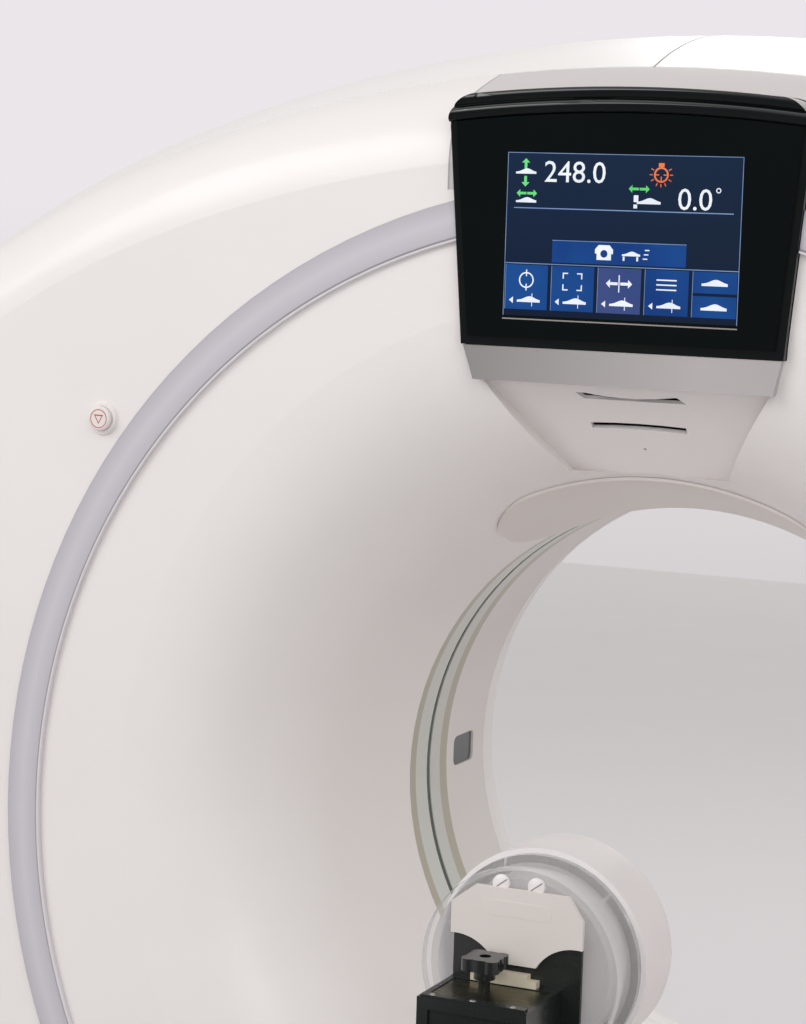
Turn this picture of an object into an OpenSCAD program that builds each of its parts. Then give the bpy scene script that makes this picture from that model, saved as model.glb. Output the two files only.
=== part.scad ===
// Computed tomography scanner: tilting gantry, patient table and a test phantom on the table end.
// Millimetres. +Z is up, +Y runs through the bore away from the table, +X is to the right of a
// person who faces the gantry from the table. The origin lies on the floor under the isocentre.

/* [Bore and scan plane] */
// Height of the bore axis above the floor
iso_h = 1000; // [970:5:1030]
// Radius of the bore at the scan window
bore_r = 350; // [342:1:356]
// Half length of the scan window along the bore
window_half = 55; // [50:1:60]
// Half width of the dark film gap in the scan window
film_half = 5; // [3:1:8]
// Wall thickness of the scan window rings
ring_t = 8; // [6:1:10]
// Length of the straight rear liner, from the scan plane
liner_y = 172; // [160:2:185]

/* [Gantry shell] */
// Half width of the tilting shell, kept to within the rounding of its shoulders
shell_half = 970; // [960:5:975]
// Height of the crown above the bore axis
shell_top = 885; // [870:5:900]
// Depth of the shell below the bore axis
shell_low = 810; // [800:2:815]
// Radius of the long top arc
top_r = 1750; // [1700:10:1800]
// Radius of the haunches between the top arc and the shoulders
haunch_r = 1200; // [1160:10:1240]
// Radius of the lower corners
foot_r = 420; // [400:5:440]
// Distance of the front and rear faces from the scan plane
face_y = 330; // [324:1:336]
// Distance of the cover seams from the scan plane
seam_y = 262; // [255:1:268]
// How far the seams lie inside the crown
seam_drop = 49; // [44:1:54]
// Wall thickness of the covers
wall = 5; // [4:0.5:6]
// Width of the seam gaps
seam_gap = 3; // [2:0.5:4]
// Height above the bore axis of the seam between the crown and a side panel
side_seam_z = 650; // [640:5:660]
// Depth of the return flanges along the seams
flange_d = 26; // [20:1:32]
// Radius of the front flare of the bore
flare_r = 230; // [220:1:240]
// Half angle of the front cone, from the bore axis
cone_deg = 14.9; // [13:0.1:16]

/* [Arc trim] */
// Outer radius of the grey arc trim
trim_r = 745; // [735:1:750]
// Width of the grey band
trim_w = 41; // [36:1:46]
// Height of the arc centre below the bore axis
trim_drop = 30; // [26:1:34]
// Height of the trim over the cover
trim_t = 4; // [3:0.5:6]
// Angle of the trim's upper end, above the horizontal
trim_top_deg = 75.5; // [74:0.5:76]
// Angle of the trim's lower end, below the horizontal
trim_low_deg = 50; // [44:1:52]

/* [Console] */
// Half width of the console at its lower edge
console_hw = 179; // [175:1:182]
// Half width of the console at its shoulders
console_top_hw = 199; // [196:1:201]
// Height of the console's lower edge above the bore axis
console_z0 = 537; // [534:1:540]
// Height of the console's crown above the bore axis
console_z1 = 811; // [806:1:812]
// Radius of the console's upper edge
console_arc_r = 1680; // [1600:10:1760]
// Radius of the console's upper corners
console_corner_r = 34; // [33:1:37]
// How far the console's face stands in front of the cover's face
console_proud = 8; // [6:1:10]
// Depth of the console behind its face
console_d = 50; // [46:1:54]
// Height of the hood over the screen
hood_h = 27; // [25.5:0.25:27.5]
// Radius of the two ridges of the hood
hood_ridge_r = 8; // [7.5:0.25:8.5]
// Thickness of the touch glass
glass_t = 5; // [4:0.5:6]
// Width of the screen
screen_w = 260; // [254:1:266]
// Height of the screen
screen_h = 172; // [168:1:174]
// Height of the screen's lower edge above the console's lower edge
screen_lift = 33; // [30:1:34]
// Height of the grey band under the console
band_h = 37; // [34:1:38]

/* [Chin and slots] */
// Half width of the chin facet at its top
chin_hw = 161; // [155:1:166]
// Half width of the chin facet at its bottom
chin_low_hw = 92; // [86:1:98]
// Height of the chin's lower edge above the bore axis
chin_z0 = 398; // [396:1:402]
// Half length of the upper slot
slot_hl = 62; // [56:1:66]
// Height of the slots
slot_h = 9; // [7:0.5:10]
// Half length of the curved slot
louvre_hl = 54; // [48:1:58]
// Radius of the curved slot
louvre_r = 620; // [560:10:680]
// Radius of the breathing lights
light_r = 8.5; // [7:0.5:9]

/* [Lamp cover over the bore] */
// Half width of the lozenge
lozenge_hw = 205; // [198:1:212]
// Corner radius of the lozenge
lozenge_r = 62; // [56:1:66]
// How far the lozenge reaches forwards from the cone onto the flare
lozenge_reach = 44; // [40:1:50]
// Thickness of the lozenge
lozenge_t = 3; // [2:0.5:4]

/* [Stop buttons] */
// Distance of a stop button from the centre plane
estop_x = 626; // [616:1:632]
// Height of a stop button above the bore axis
estop_z = 429; // [420:1:436]
// Radius of the button
estop_r = 14; // [12:0.5:15]
// Width of the collar round the button
estop_collar = 5; // [4:0.5:7]
// Travel of the button
estop_travel = 4; // [3:0.5:5]

/* [Positioning laser windows] */
// Distance of the laser windows behind the scan plane
laser_y = 108; // [102:1:114]
// Length of a laser window along the bore
laser_l = 62; // [56:1:68]
// Width of a laser window round the bore
laser_w = 38; // [34:1:42]

/* [Rotor] */
// Outer radius of the rotating drum
rotor_r = 760; // [748:1:766]
// Inner radius of the rotating drum
rotor_bore_r = 415; // [405:1:425]
// Front face of the drum plate, behind the scan plane
rotor_y = 90; // [86:1:94]
// Thickness of the drum plate
rotor_t = 25; // [20:1:28]
// Distance from the focal spot to the bore axis
focus_r = 545; // [540:1:550]
// Distance from the focal spot to the detector
detector_r = 949; // [940:1:955]
// Half angle of the detector
detector_deg = 27; // [25:0.5:28]
// Radius of the tube housing
tube_r = 95; // [88:1:98]
// Pitch radius of the main bearing
race_r = 475; // [468:1:482]
// Radius of the bearing balls
ball_r = 12; // [11:0.5:13]
// Number of bearing balls
ball_n = 36; // [30:1:40]
// Radius of the motor pulley
pulley_r = 45; // [40:1:50]
// Thickness of the drive belt
belt_t = 4; // [3:0.5:5]
// Width of the drive belt
belt_w = 21; // [18:1:22]

/* [Stator and stands] */
// Thickness of the stator plate
stator_t = 30; // [26:1:34]
// Half width of the stator frame
stator_hw = 900; // [890:1:905]
// Radius of the trunnions
trunnion_r = 60; // [54:1:66]
// Inner face of the stands, from the centre plane
stand_x = 1000; // [998:1:1006]
// Thickness of the stand plates
stand_t = 40; // [34:1:44]
// Outer radius of the trunnion bearings
bearing_or = 100; // [92:1:106]
// Half length of the stands along the bore
stand_hl = 440; // [420:5:450]
// Outer face of the stand covers, from the centre plane
cover_x = 1110; // [1106:1:1120]
// Thickness of the floor plates
floor_t = 25; // [20:1:30]
// Radius of the anchor bolt holes
anchor_r = 9; // [7:0.5:11]

/* [Patient table] */
// Radius of the cradle's underside
cradle_r = 294; // [290:1:300]
// Thickness of the cradle's shell
cradle_t = 18; // [15:1:20]
// Half angle of the cradle's section
cradle_deg = 45.5; // [43:0.5:46]
// Height of the cradle's lowest point above the floor
cradle_z = 712; // [706:1:718]
// Distance of the cradle's head end in front of the scan plane
cradle_y = 650; // [640:5:665]
// Length of the cradle
cradle_l = 2350; // [2300:10:2400]
// Thickness of the cradle pad
pad_t = 22; // [18:1:25]
// Distance of the table frame's head end in front of the scan plane
frame_y = 900; // [880:5:920]
// Length of the table frame
frame_l = 2200; // [2150:10:2250]
// Half width of the table frame
frame_hw = 235; // [225:1:245]
// Height of the table frame's underside above the floor
frame_z = 600; // [596:1:604]
// Distance of the table base's centre in front of the scan plane
base_y = 1825; // [1790:5:1860]
// Half length of the table base plate
base_hl = 475; // [460:5:490]
// Half width of the table base plate
base_hw = 230; // [220:5:240]
// Height of each lift shroud
shroud_h = 250; // [246:1:252]
// Wall thickness of the lift shrouds
shroud_t = 4; // [3:0.5:5]
// Clearance between neighbouring lift shrouds
shroud_gap = 5; // [4:0.5:6]

/* [Phantom and holder] */
// Sideways place of the phantom's axis
phantom_x = -20; // [-24:1:-16]
// Height of the phantom's axis below the bore axis
phantom_drop = 90; // [84:1:96]
// Distance of the phantom's front face in front of the scan plane
phantom_y = 505; // [500:1:510]
// Radius of the clear front flange
flange_r = 107.5; // [104:0.5:110]
// Radius of the white rear body
body_r = 116; // [112:0.5:118]
// Length of the clear front section
clear_l = 62; // [56:1:66]
// Length of the white rear body
body_l = 84; // [78:1:86]
// Width of the holder plates
plate_w = 144; // [138:1:150]
// Thickness of each holder plate
plate_t = 5; // [4:0.5:6]
// Width of the holder box
box_w = 118; // [112:1:124]
// Depth of the holder box along the bore
box_d = 92; // [88:1:96]
// Height of the holder box
box_h = 96; // [90:1:100]
// Sideways place of the holder box
box_x = -30; // [-34:1:-26]
// Height of the box top below the bore axis
box_drop = 100; // [96:1:104]
// Radius of the clamp knob
knob_r = 25; // [23:0.5:27]

/* [Hidden] */

$fn = 96;
fine_fn = 240;

// Clearances: face to face play of bolted pieces, running fits and seated trim
seat = 0.3;
run_fit = 0.05;
pocket_gap = 0.6;
eps = 1;
rib_t = 6;

// Lap of two stretches of one piece: how far the inner one steps in, and how far it runs under
lap = 0.2;
lap_run = 2;

// How far a round runs over a flat or a cone that it meets, so that both cross at a clear angle
over = 0.1;

// Shell section: crown arc, edge arc and where the flat face starts
crown_r = (seam_y * seam_y + seam_drop * seam_drop) / (2 * seam_drop);
crown_deg = asin(seam_y / crown_r);
edge_r = (face_y - seam_y) / (1 - sin(crown_deg));
edge_u = seam_drop + edge_r * cos(crown_deg);

// Shell outline: centres of its arcs, measured from the bore axis
// Its joints lie in directions of (sine, cosine) from the vertical with whole-number triangles, and its
// radii are rounded, so that both neighbours of a joint end in exactly the same face
haunch_dir = [0.352, 0.936];
shoulder_dir = [0.5376, 0.8432];
top_c = [0, shell_top - top_r];
haunch_c = top_c + (top_r - haunch_r) * haunch_dir;
shoulder_want = (shell_half - haunch_c[0] - haunch_r * shoulder_dir[0]) / (1 - shoulder_dir[0]);
shoulder_r = 5 * round(shoulder_want / 5);
shoulder_c = haunch_c + (haunch_r - shoulder_r) * shoulder_dir;
shell_hw = shoulder_c[0] + shoulder_r;
foot_x = shell_hw - foot_r;
foot_z = foot_r - shell_low;

// Front flare: an arc that meets the flat face and the cone
flare_y = flare_r - face_y;
flare_cr = bore_r + (flare_r - sin(cone_deg) * (flare_y + window_half)) / cos(cone_deg);
cone_y = flare_y - flare_r * sin(cone_deg);
cone_r = flare_cr - flare_r * cos(cone_deg);

// Rear flare: a quarter round from the liner to the rear face
rear_r = face_y - liner_y;
rear_cr = bore_r + rear_r;

// Console
console_face = -face_y - console_proud;
console_back = console_face + console_d;
console_corner_x = console_top_hw - console_corner_r;
console_corner_top = console_z1 - console_arc_r
    + sqrt(console_arc_r * console_arc_r - console_corner_x * console_corner_x);
console_corner_z = console_corner_top - console_corner_r;
hood_z = console_z1 - hood_h;
hood_y = console_face - 2;
glass_inset = 9;
band_top = console_z0 - pocket_gap;
band_low = band_top - band_h;

// Chin facet: a plane from just under the band down to the lamp cover
chin_z1 = band_low;
chin_y0 = flare_y - sqrt(flare_r * flare_r - pow(flare_cr - chin_z0, 2)) - 2;
chin_y1 = flare_y - sqrt(flare_r * flare_r - pow(flare_cr - chin_z1, 2));
chin_deg = atan2(chin_z1 - chin_z0, chin_y1 - chin_y0);
chin_v = norm([chin_z1 - chin_z0, chin_y1 - chin_y0]);
slot_v = chin_v - 18;
louvre_v = chin_v - 62;
mic_v = chin_v - 98;
mic_r = 2;
insert_d = 16;

// Rotor and bearing
rotor_back = rotor_y + rotor_t;
race_w = 46;
race_t = 46;
race_y = rotor_back + 4;
stator_y = race_y + race_w;
ball_y = race_y + race_w / 2;
motor_deg = -35;
motor_x = (rotor_r + 100) * cos(motor_deg);
motor_z = (rotor_r + 100) * sin(motor_deg);
motor_r = 70;
motor_shaft_r = 14;
belt_y = rotor_y + 2;

// Stator posts that carry the covers
post_w = 50;
post_top = [690, 520];
post_low = [shell_hw - edge_u - post_w / 2 - 1, -230];
stator_low = shell_low - seam_drop - wall;
cheek_w = 100;
cheek_h = 160;
cheek_y = -80;

// Stands
stand_foot_h = floor_t;
trunnion_end = stand_x + stand_t + 8;
gear_t = 42;
gear_r = 132;
cover_in = shell_hw + 15;
cover_t = 4;
cover_top_r = 190;
anchor_x = stand_x + 78;
anchor_y = 400;

// Table
cradle_cz = cradle_z + cradle_r;
cradle_hw = cradle_r * sin(cradle_deg);
rail_deg = [18, 24.5];
rail_t = 8;
base_t = 20;
shroud_hl = 330;
shroud_hw = 150;
shroud_low_z = base_t;
shroud_step = shroud_t + shroud_gap;
lip_h = 5;
shroud_mid_z = (frame_z - shroud_h + shroud_low_z) / 2;
shroud_top_z = frame_z - shroud_h;
frame_top = cradle_z + 33;
frame_wall = 12;
tube_rs = [60, 48, 36];
tube_wall = 6;
tube_h = shroud_h - 8;
tube_y = 130;
anchor_table = [base_hw - 30, base_hl - 50];

// Phantom
phantom_z = iso_h - phantom_drop;
plate_z1 = phantom_z + 88;
plate_fold_z = phantom_z + 35;
plate_bulge = 25;
bite_r = 50;
box_z1 = iso_h - box_drop;
box_y1 = phantom_y + plate_t;
knob_x = box_x - 9;
knob_y = box_y1 + 38;

// Placing helpers

// Moves its children from the isocentre to the row frame
module at_iso() {
    translate([0, 0, iso_h]) children();
}

// Turns a profile of (radius, y) about the bore axis
module about_bore(fn = $fn) {
    rotate([-90, 0, 0]) rotate_extrude($fn = fn) children();
}

// Turns a profile of (radius, y) from angle a0 to a1, counted from +X towards +Z
module bore_sector(a0, a1, fn = $fn) {
    rotate([-90, 0, 0]) rotate([0, 0, -a1]) rotate_extrude(angle = a1 - a0, $fn = fn) children();
}

// Stands a flat outline of (x, z) up, from y0 to y1
module upright(y0, y1) {
    translate([0, y1, 0]) rotate([90, 0, 0]) linear_extrude(y1 - y0) children();
}

// Carries a profile of (y, z) along X, from x0 to x1
module across(x0, x1) {
    translate([x0, 0, 0]) rotate([90, 0, 90]) linear_extrude(x1 - x0) children();
}

// Children on both sides of the centre plane
module both_sides() {
    children();
    mirror([1, 0, 0]) children();
}

// Box between two corners
module block(low, high) {
    translate(low) cube(high - low);
}

// Rectangle with rounded corners, centred
module round_rect(w, h, r) {
    square([w - 2 * r, h], center = true);
    square([w, h - 2 * r], center = true);
    for (x = [-1, 1], y = [-1, 1]) {
        translate([x * (w / 2 - r), y * (h / 2 - r)]) circle(r);
    }
}

// Shell shapes

// Turns a profile of (radius, y) from +X up by an angle, or down by it
module turn_up(angle, fn = $fn) {
    mirror([0, 0, 1]) turn_down(angle, fn) children();
}

module turn_down(angle, fn = $fn) {
    rotate([-90, 0, 0]) rotate_extrude(angle = angle, $fn = fn) children();
}

// Carries a section of (inward distance, y) round a centre, from one direction to another
module along_arc(centre, r, from_dir, to_dir) {
    translate([centre[0], 0, centre[1]]) intersection() {
        about_bore(fine_fn) translate([r, 0]) mirror([1, 0]) children();
        wedge(from_dir, to_dir);
    }
}

// Wedge between two directions of (x, z)
module wedge(from_dir, to_dir) {
    upright(-face_y - eps, face_y + eps) polygon([[0, 0], 2000 * from_dir, 2000 * to_dir]);
}

// Carries it along the haunch, shoulder, side and lower corner on the right
module along_side() {
    along_arc(haunch_c, haunch_r, haunch_dir, shoulder_dir) children();
    translate([shoulder_c[0], 0, shoulder_c[1]]) intersection() {
        turn_up(80) translate([shoulder_r, 0]) mirror([1, 0]) children();
        wedge(shoulder_dir, [1, -0.5]);
    }
    translate([shell_hw, 0, foot_z])
        linear_extrude(shoulder_c[1] - foot_z) mirror([1, 0]) children();
    translate([foot_x, 0, foot_z])
        turn_down(90) translate([foot_r, 0]) mirror([1, 0]) children();
}

// Carries it along the flat underside, from the right corner leftwards
module along_bottom(length) {
    translate([foot_x, 0, -shell_low]) rotate([0, -90, 0]) linear_extrude(length) children();
}

// Points of (x, z) in short chords round a centre, between two angles from the vertical
function chords(centre, r, a0, a1, steps) = [
    for (i = [1 : steps]) let (a = a0 + (a1 - a0) * i / steps) centre + r * [sin(a), cos(a)]
];

// Right half of an outline of (x, z) that lies a distance inside the shell
function shell_half_at(inset) =
    let (a1 = asin(haunch_dir[0]), a2 = asin(shoulder_dir[0]))
    concat(
        chords(top_c, top_r - inset, -a1, a1, 8),
        chords(haunch_c, haunch_r - inset, a1, a2, 3),
        chords(shoulder_c, shoulder_r - inset, a2, 90, 6),
        chords([foot_x, foot_z], foot_r - inset, 90, 180, 6)
    );

// Flat plate inside the rim of a cover
module face_plate(inset) {
    right = shell_half_at(inset);
    polygon(concat(right, [for (i = [len(right) - 1 : -1 : 8]) [-right[i][0], right[i][1]]]));
}

// Rounded edge of a front cover, from its seam to the flat face, with its return flange
module rim_section() {
    rim_y = -seam_y - seam_gap / 2;
    intersection() {
        difference() {
            translate([edge_u, edge_r - face_y]) circle(edge_r + over);
            translate([edge_u, edge_r - face_y]) circle(edge_r - wall + eps / 2);
        }
        translate([0, -face_y]) square([edge_u, face_y + rim_y]);
    }
    translate([edge_u - lap_run, -face_y]) square([2 * flange_d, wall]);
    translate([seam_drop + wall / 2 + 2, rim_y - wall]) square([flange_d, wall]);
}

// Crowned wall of the top and side covers, with its two return flanges
module crown_section() {
    edge = seam_y - seam_gap / 2;
    intersection() {
        difference() {
            translate([crown_r, 0]) circle(crown_r, $fn = fine_fn);
            translate([crown_r, 0]) circle(crown_r - wall, $fn = fine_fn);
        }
        translate([-eps, -edge]) square([seam_drop + 4 * wall, 2 * edge]);
    }
    for (s = [-1, 1]) {
        translate([seam_drop + wall / 2, s * (edge - wall / 2) - wall / 2]) square([flange_d, wall]);
    }
}

// Region of (radius, y) behind the seen flare, cone and front face, grown forwards by a gap
module seen_profile(gap) {
    normal = [-cos(cone_deg), -sin(cone_deg)];
    tangent = [flare_cr, flare_y] + normal * (flare_r + gap);
    bore_end = [bore_r, -window_half] + normal * gap;
    intersection() {
        translate([flare_cr, flare_y]) circle(flare_r + gap + over, $fn = fine_fn);
        translate([0, -face_y - gap]) square([flare_cr, face_y + gap]);
    }
    polygon([tangent, bore_end, [flare_cr, bore_end[1]], [flare_cr, flare_y]]);
    translate([flare_cr - lap_run, -face_y - gap]) square([flare_r, face_y]);
}

// Wall of the front flare and cone, with the flange that meets the scan window
module flare_section() {
    intersection() {
        difference() {
            seen_profile(0);
            seen_profile(-wall);
        }
        translate([0, -2 * face_y]) square([flare_cr + flange_d, 2 * face_y - window_half]);
    }
    translate([bore_r + wall / 2, -window_half - wall]) square([ring_t + flange_d - wall / 2, wall]);
}

// Rear flare of (radius, y), a quarter round
module rear_flare_section() {
    intersection() {
        difference() {
            translate([rear_cr, liner_y]) circle(rear_r + over);
            translate([rear_cr, liner_y]) circle(rear_r - wall + eps / 2);
        }
        translate([0, liner_y]) square([rear_cr, rear_r]);
    }
    translate([rear_cr - lap_run, face_y - wall]) square([flange_d, wall]);
    translate([bore_r, liner_y]) square([ring_t + flange_d, wall]);
}

// Space behind the front cover's seen face and flare, grown forwards by a gap
module cover_space(gap) {
    about_bore(fine_fn) seen_profile(gap);
}

// Console outline of (x, z), grown by a gap
module console_outline(gap) {
    top = console_arc_r + gap;
    intersection() {
        translate([0, console_z1 - console_arc_r]) circle(top, $fn = fine_fn);
        translate([-console_corner_x, console_z0 - gap])
            square([2 * console_corner_x, console_z1]);
    }
    polygon([
        [-console_hw - gap, console_z0 - gap], [console_hw + gap, console_z0 - gap],
        [console_top_hw + gap, console_corner_z], [-console_top_hw - gap, console_corner_z]
    ]);
    for (s = [-1, 1]) {
        translate([s * console_corner_x, console_corner_z]) circle(console_corner_r + gap);
    }
}

// Space that the console takes out of the front, with its clearance
module console_pocket() {
    upright(-face_y - 9, console_back + 2) console_outline(pocket_gap);
}

// Chin prism of (x, z), grown by a gap
module chin_prism(gap) {
    upright(-face_y - eps, 0) polygon([
        [-chin_low_hw - gap, chin_z0 - gap], [chin_low_hw + gap, chin_z0 - gap],
        [chin_hw + gap, chin_z1 + gap], [-chin_hw - gap, chin_z1 + gap]
    ]);
}

// Frame of the chin facet: x across, y up the facet, z out of it
module on_chin() {
    translate([0, chin_y0, chin_z0]) rotate([chin_deg, 0, 0]) children();
}

// Everything in front of the chin facet, or of a plane behind it
module before_chin(depth) {
    on_chin() translate([-chin_hw - 20, -200, -depth]) cube([2 * chin_hw + 40, 500, 300]);
}

// Upper slot, a thin parallelogram, from the facet inwards by a depth
module slot_cut(grow, depth) {
    on_chin() translate([0, slot_v, -depth]) linear_extrude(depth + eps) polygon([
        [-slot_hl - grow, slot_h / 2 + grow], [slot_hl - slot_h + grow, slot_h / 2 + grow],
        [slot_hl + grow, -slot_h / 2 - grow], [-slot_hl + slot_h - grow, -slot_h / 2 - grow]
    ]);
}

// Curved slot under it
module louvre_cut(grow, depth) {
    on_chin() translate([0, louvre_v - louvre_r, -depth]) linear_extrude(depth + eps)
        intersection() {
            difference() {
                circle(louvre_r + slot_h / 2 + grow, $fn = fine_fn);
                circle(louvre_r - slot_h / 2 - grow, $fn = fine_fn);
            }
            translate([-louvre_hl - grow, 0]) square([2 * (louvre_hl + grow), louvre_r + slot_h + 9]);
        }
}

// Covers and trim

// Rim, flat face and flange of a cover, drawn as the front one
module cover_face(hole_r) {
    both_sides() along_side() rim_section();
    along_arc(top_c, top_r, [-haunch_dir[0], haunch_dir[1]], haunch_dir) rim_section();
    along_bottom(2 * foot_x) rim_section();
    difference() {
        upright(-face_y, -face_y + wall) face_plate(edge_u + flange_d / 2);
        translate([0, -face_y, 0]) rotate([90, 0, 0])
            cylinder(r = hole_r + flange_d / 2, h = 4 * wall, center = true, $fn = fine_fn);
    }
}

module front_cover() {
    color("#eceae7") at_iso() {
        difference() {
            union() {
                cover_face(flare_cr);
                about_bore(fine_fn) flare_section();
            }
            console_pocket();
            intersection() {
                chin_prism(0);
                before_chin(0);
            }
            for (s = [-1, 1]) {
                translate([s * estop_x, 0, estop_z]) rotate([90, 0, 0])
                    cylinder(r = estop_r - 3, h = face_y + eps);
            }
        }
        chin_tray();
    }
}

// Recessed facet under the console: its floor and side walls, cut by both slots
module chin_tray() {
    difference() {
        intersection() {
            chin_prism(wall);
            cover_space(-wall / 4);
            before_chin(wall);
        }
        intersection() {
            chin_prism(0);
            before_chin(0);
        }
        slot_cut(0, wall + eps);
        louvre_cut(0, wall + eps);
        on_chin() translate([0, mic_v, -wall - eps]) cylinder(r = mic_r, h = wall + 2 * eps);
    }
}

module rear_cover() {
    color("#e6e4e1") at_iso() difference() {
        union() {
            mirror([0, 1, 0]) cover_face(rear_cr);
            about_bore() rear_flare_section();
        }
        for (s = [-1, 1]) {
            translate([s * estop_x, 0, estop_z]) rotate([-90, 0, 0])
                cylinder(r = estop_r - 3, h = face_y + eps);
        }
    }
}

// One half of the crowned cover, split at the shoulder and over the trunnion into three panels
module top_cover_half() {
    difference() {
        union() {
            along_side() crown_section();
            along_arc(top_c, top_r, [0, 1], haunch_dir) crown_section();
            along_bottom(foot_x) crown_section();
            for (z = [-cheek_h + 40, cheek_h - 60], y = [-60, 54]) {
                block([stator_hw + seat, y, z], [shell_hw - wall, y + rib_t, z + 4 * rib_t]);
            }
        }
        translate([-seam_gap / 2, -seam_y, -shell_low - eps])
            cube([seam_gap, 2 * seam_y, shell_low + shell_top + 2 * eps]);
        for (z = [-seam_gap / 2, side_seam_z]) {
            translate([0, -seam_y, z]) cube([shell_hw + 9, 2 * seam_y, seam_gap]);
        }
        rotate([0, 90, 0]) cylinder(r = trunnion_r + 22, h = shell_hw + 9);
    }
}

module top_cover_right() {
    color("#efedea") at_iso() top_cover_half();
}

module top_cover_left() {
    color("#efedea") at_iso() mirror([1, 0, 0]) top_cover_half();
}

// Grey band with a thin raised lip along its inner edge, up to the console
module arc_trims() {
    color("#aeadb6") at_iso() difference() {
        translate([0, 0, -trim_drop]) both_sides() bore_sector(-trim_low_deg, trim_top_deg, fine_fn) {
            translate([trim_r - trim_w, -face_y - trim_t]) square([trim_w, trim_t]);
            translate([trim_r - trim_w, -face_y]) polygon(trim_t * [
                [-0.5, 0], [-0.5, -1.25], [-0.25, -1.5], [0.25, -1.5], [0.5, -1.25], [0.5, 0]
            ]);
        }
        console_pocket();
    }
}

// Curved plate over the front of the bore, with round ends
module lozenge_cover() {
    y0 = cone_y - lozenge_reach;
    y1 = -window_half - seat;
    color("#dedbd8") at_iso() intersection() {
        bore_sector(40, 140, fine_fn) difference() {
            seen_profile(seat + lozenge_t);
            seen_profile(seat);
            translate([0, y1]) square(2 * flare_cr);
            translate([flare_cr - flare_r / 2, -2 * face_y]) square(4 * face_y);
        }
        translate([0, (y0 + y1) / 2, 0]) linear_extrude(shell_top)
            round_rect(2 * lozenge_hw, y1 - y0, lozenge_r);
    }
}

// Console

module console_housing() {
    color("#17191a") at_iso() {
        difference() {
            upright(console_face, console_back) console_outline(0);
            upright(console_face + wall, console_back + eps) intersection() {
                console_outline(-wall);
                translate([-console_hw, console_z0 + wall])
                    square([2 * console_hw, hood_z - console_z0]);
            }
        }
        intersection() {
            upright(hood_y - hood_ridge_r - eps, console_back) console_outline(0);
            translate([0, 0, console_z1 - console_arc_r]) bore_sector(80, 100, fine_fn) hood_section();
        }
    }
}

// Two convex ridges over the screen, of (radius, y)
module hood_section() {
    for (down = [hood_ridge_r - 3, hood_h - hood_ridge_r]) {
        translate([console_arc_r - down, hood_y]) circle(hood_ridge_r);
    }
}

// Black touch glass round the screen
module console_glass() {
    color("#0d1110") at_iso() difference() {
        upright(console_face - glass_t, console_face) intersection() {
            console_outline(-glass_inset);
            translate([0, console_z1 - console_arc_r])
                circle(console_arc_r - hood_h - seat, $fn = fine_fn);
        }
        upright(console_face - glass_t - eps, console_face + eps) screen_outline(0);
    }
}

module screen_outline(gap) {
    translate([-screen_w / 2 - gap, console_z0 + screen_lift - gap])
        square([screen_w + 2 * gap, screen_h + 2 * gap]);
}

module screen_panel() {
    color("#16233c") at_iso()
        upright(console_face - glass_t + 0.5, console_face) screen_outline(-seat);
}

// Grey band that closes the gap between the console and the flare
module console_band() {
    color("#b9b8bb") at_iso() difference() {
        intersection() {
            across(-console_hw, console_hw) polygon([
                [console_face + 1, band_top], [console_face + 7, band_low],
                [console_face + 60, band_low], [console_face + 60, band_top]
            ]);
            upright(-face_y - 20, 0) polygon([
                [-console_hw + 2, band_top], [console_hw - 2, band_top],
                [console_hw - 12, band_low], [-console_hw + 12, band_low]
            ]);
        }
        cover_space(seat);
        chin_prism(wall + seat);
    }
}

// Black troughs behind the two slots of the chin
module slot_insert() {
    color("#2c3531") at_iso() {
        for (v = [slot_v, louvre_v]) {
            on_chin() difference() {
                translate([-slot_hl - 8, v - slot_h - 7, -wall - seat - insert_d])
                    cube([2 * slot_hl + 16, 2 * slot_h + 14, insert_d]);
                translate([-slot_hl - 5, v - slot_h - 4, -wall - seat - insert_d + 3])
                    cube([2 * slot_hl + 10, 2 * slot_h + 8, insert_d]);
            }
        }
    }
}

// Two round lamps behind the upper slot
module breathing_lights() {
    color("#eef0ee") at_iso() for (x = [-0.66, -0.02]) {
        on_chin() translate([x * slot_hl, slot_v + light_r / 2, -wall - seat - insert_d + 3])
            cylinder(r = light_r, h = insert_d - 3 - seat);
    }
}

// Scan window and rear liner

module window_rings() {
    color("#c9c8c0") at_iso() for (s = [-1, 1]) {
        about_bore(fine_fn) translate([bore_r, s < 0 ? -window_half : film_half])
            square([ring_t, window_half - film_half]);
    }
}

module window_film() {
    color("#3c4540") at_iso() about_bore(fine_fn)
        translate([bore_r + 1.5, -film_half]) square([3, 2 * film_half]);
}

// Tube behind the scan window, with a window for each positioning laser
module rear_liner() {
    color("#e3e0dd") at_iso() difference() {
        about_bore(fine_fn) translate([bore_r, window_half]) square([ring_t, liner_y - window_half]);
        for (a = [0, 90, 180]) laser_place(a) laser_outline(0, ring_t + 6);
    }
}

module laser_place(a) {
    rotate([0, -a, 0]) translate([bore_r, laser_y, 0]) rotate([0, 90, 0]) children();
}

module laser_outline(gap, h) {
    translate([0, 0, -4]) linear_extrude(h) round_rect(laser_w - 2 * gap, laser_l - 2 * gap, 9);
}

module laser_windows() {
    color("#3a3d40") at_iso() intersection() {
        about_bore(fine_fn) translate([bore_r + 3, window_half]) square([4, liner_y - window_half]);
        for (a = [0, 90, 180]) laser_place(a) laser_outline(seat, ring_t + 6);
    }
}

// Stop buttons

module estop_collars() {
    color("#e9e7e4") at_iso() for (s = [-1, 1], f = [0, 1]) {
        mirror([0, f, 0]) translate([s * estop_x, -face_y, estop_z]) rotate([90, 0, 0]) difference() {
            cylinder(r1 = estop_r + estop_collar + 1, r2 = estop_r + estop_collar - 1, h = 4);
            translate([0, 0, -eps]) cylinder(r = estop_r + seat, h = 4 + 2 * eps);
        }
    }
}

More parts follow.
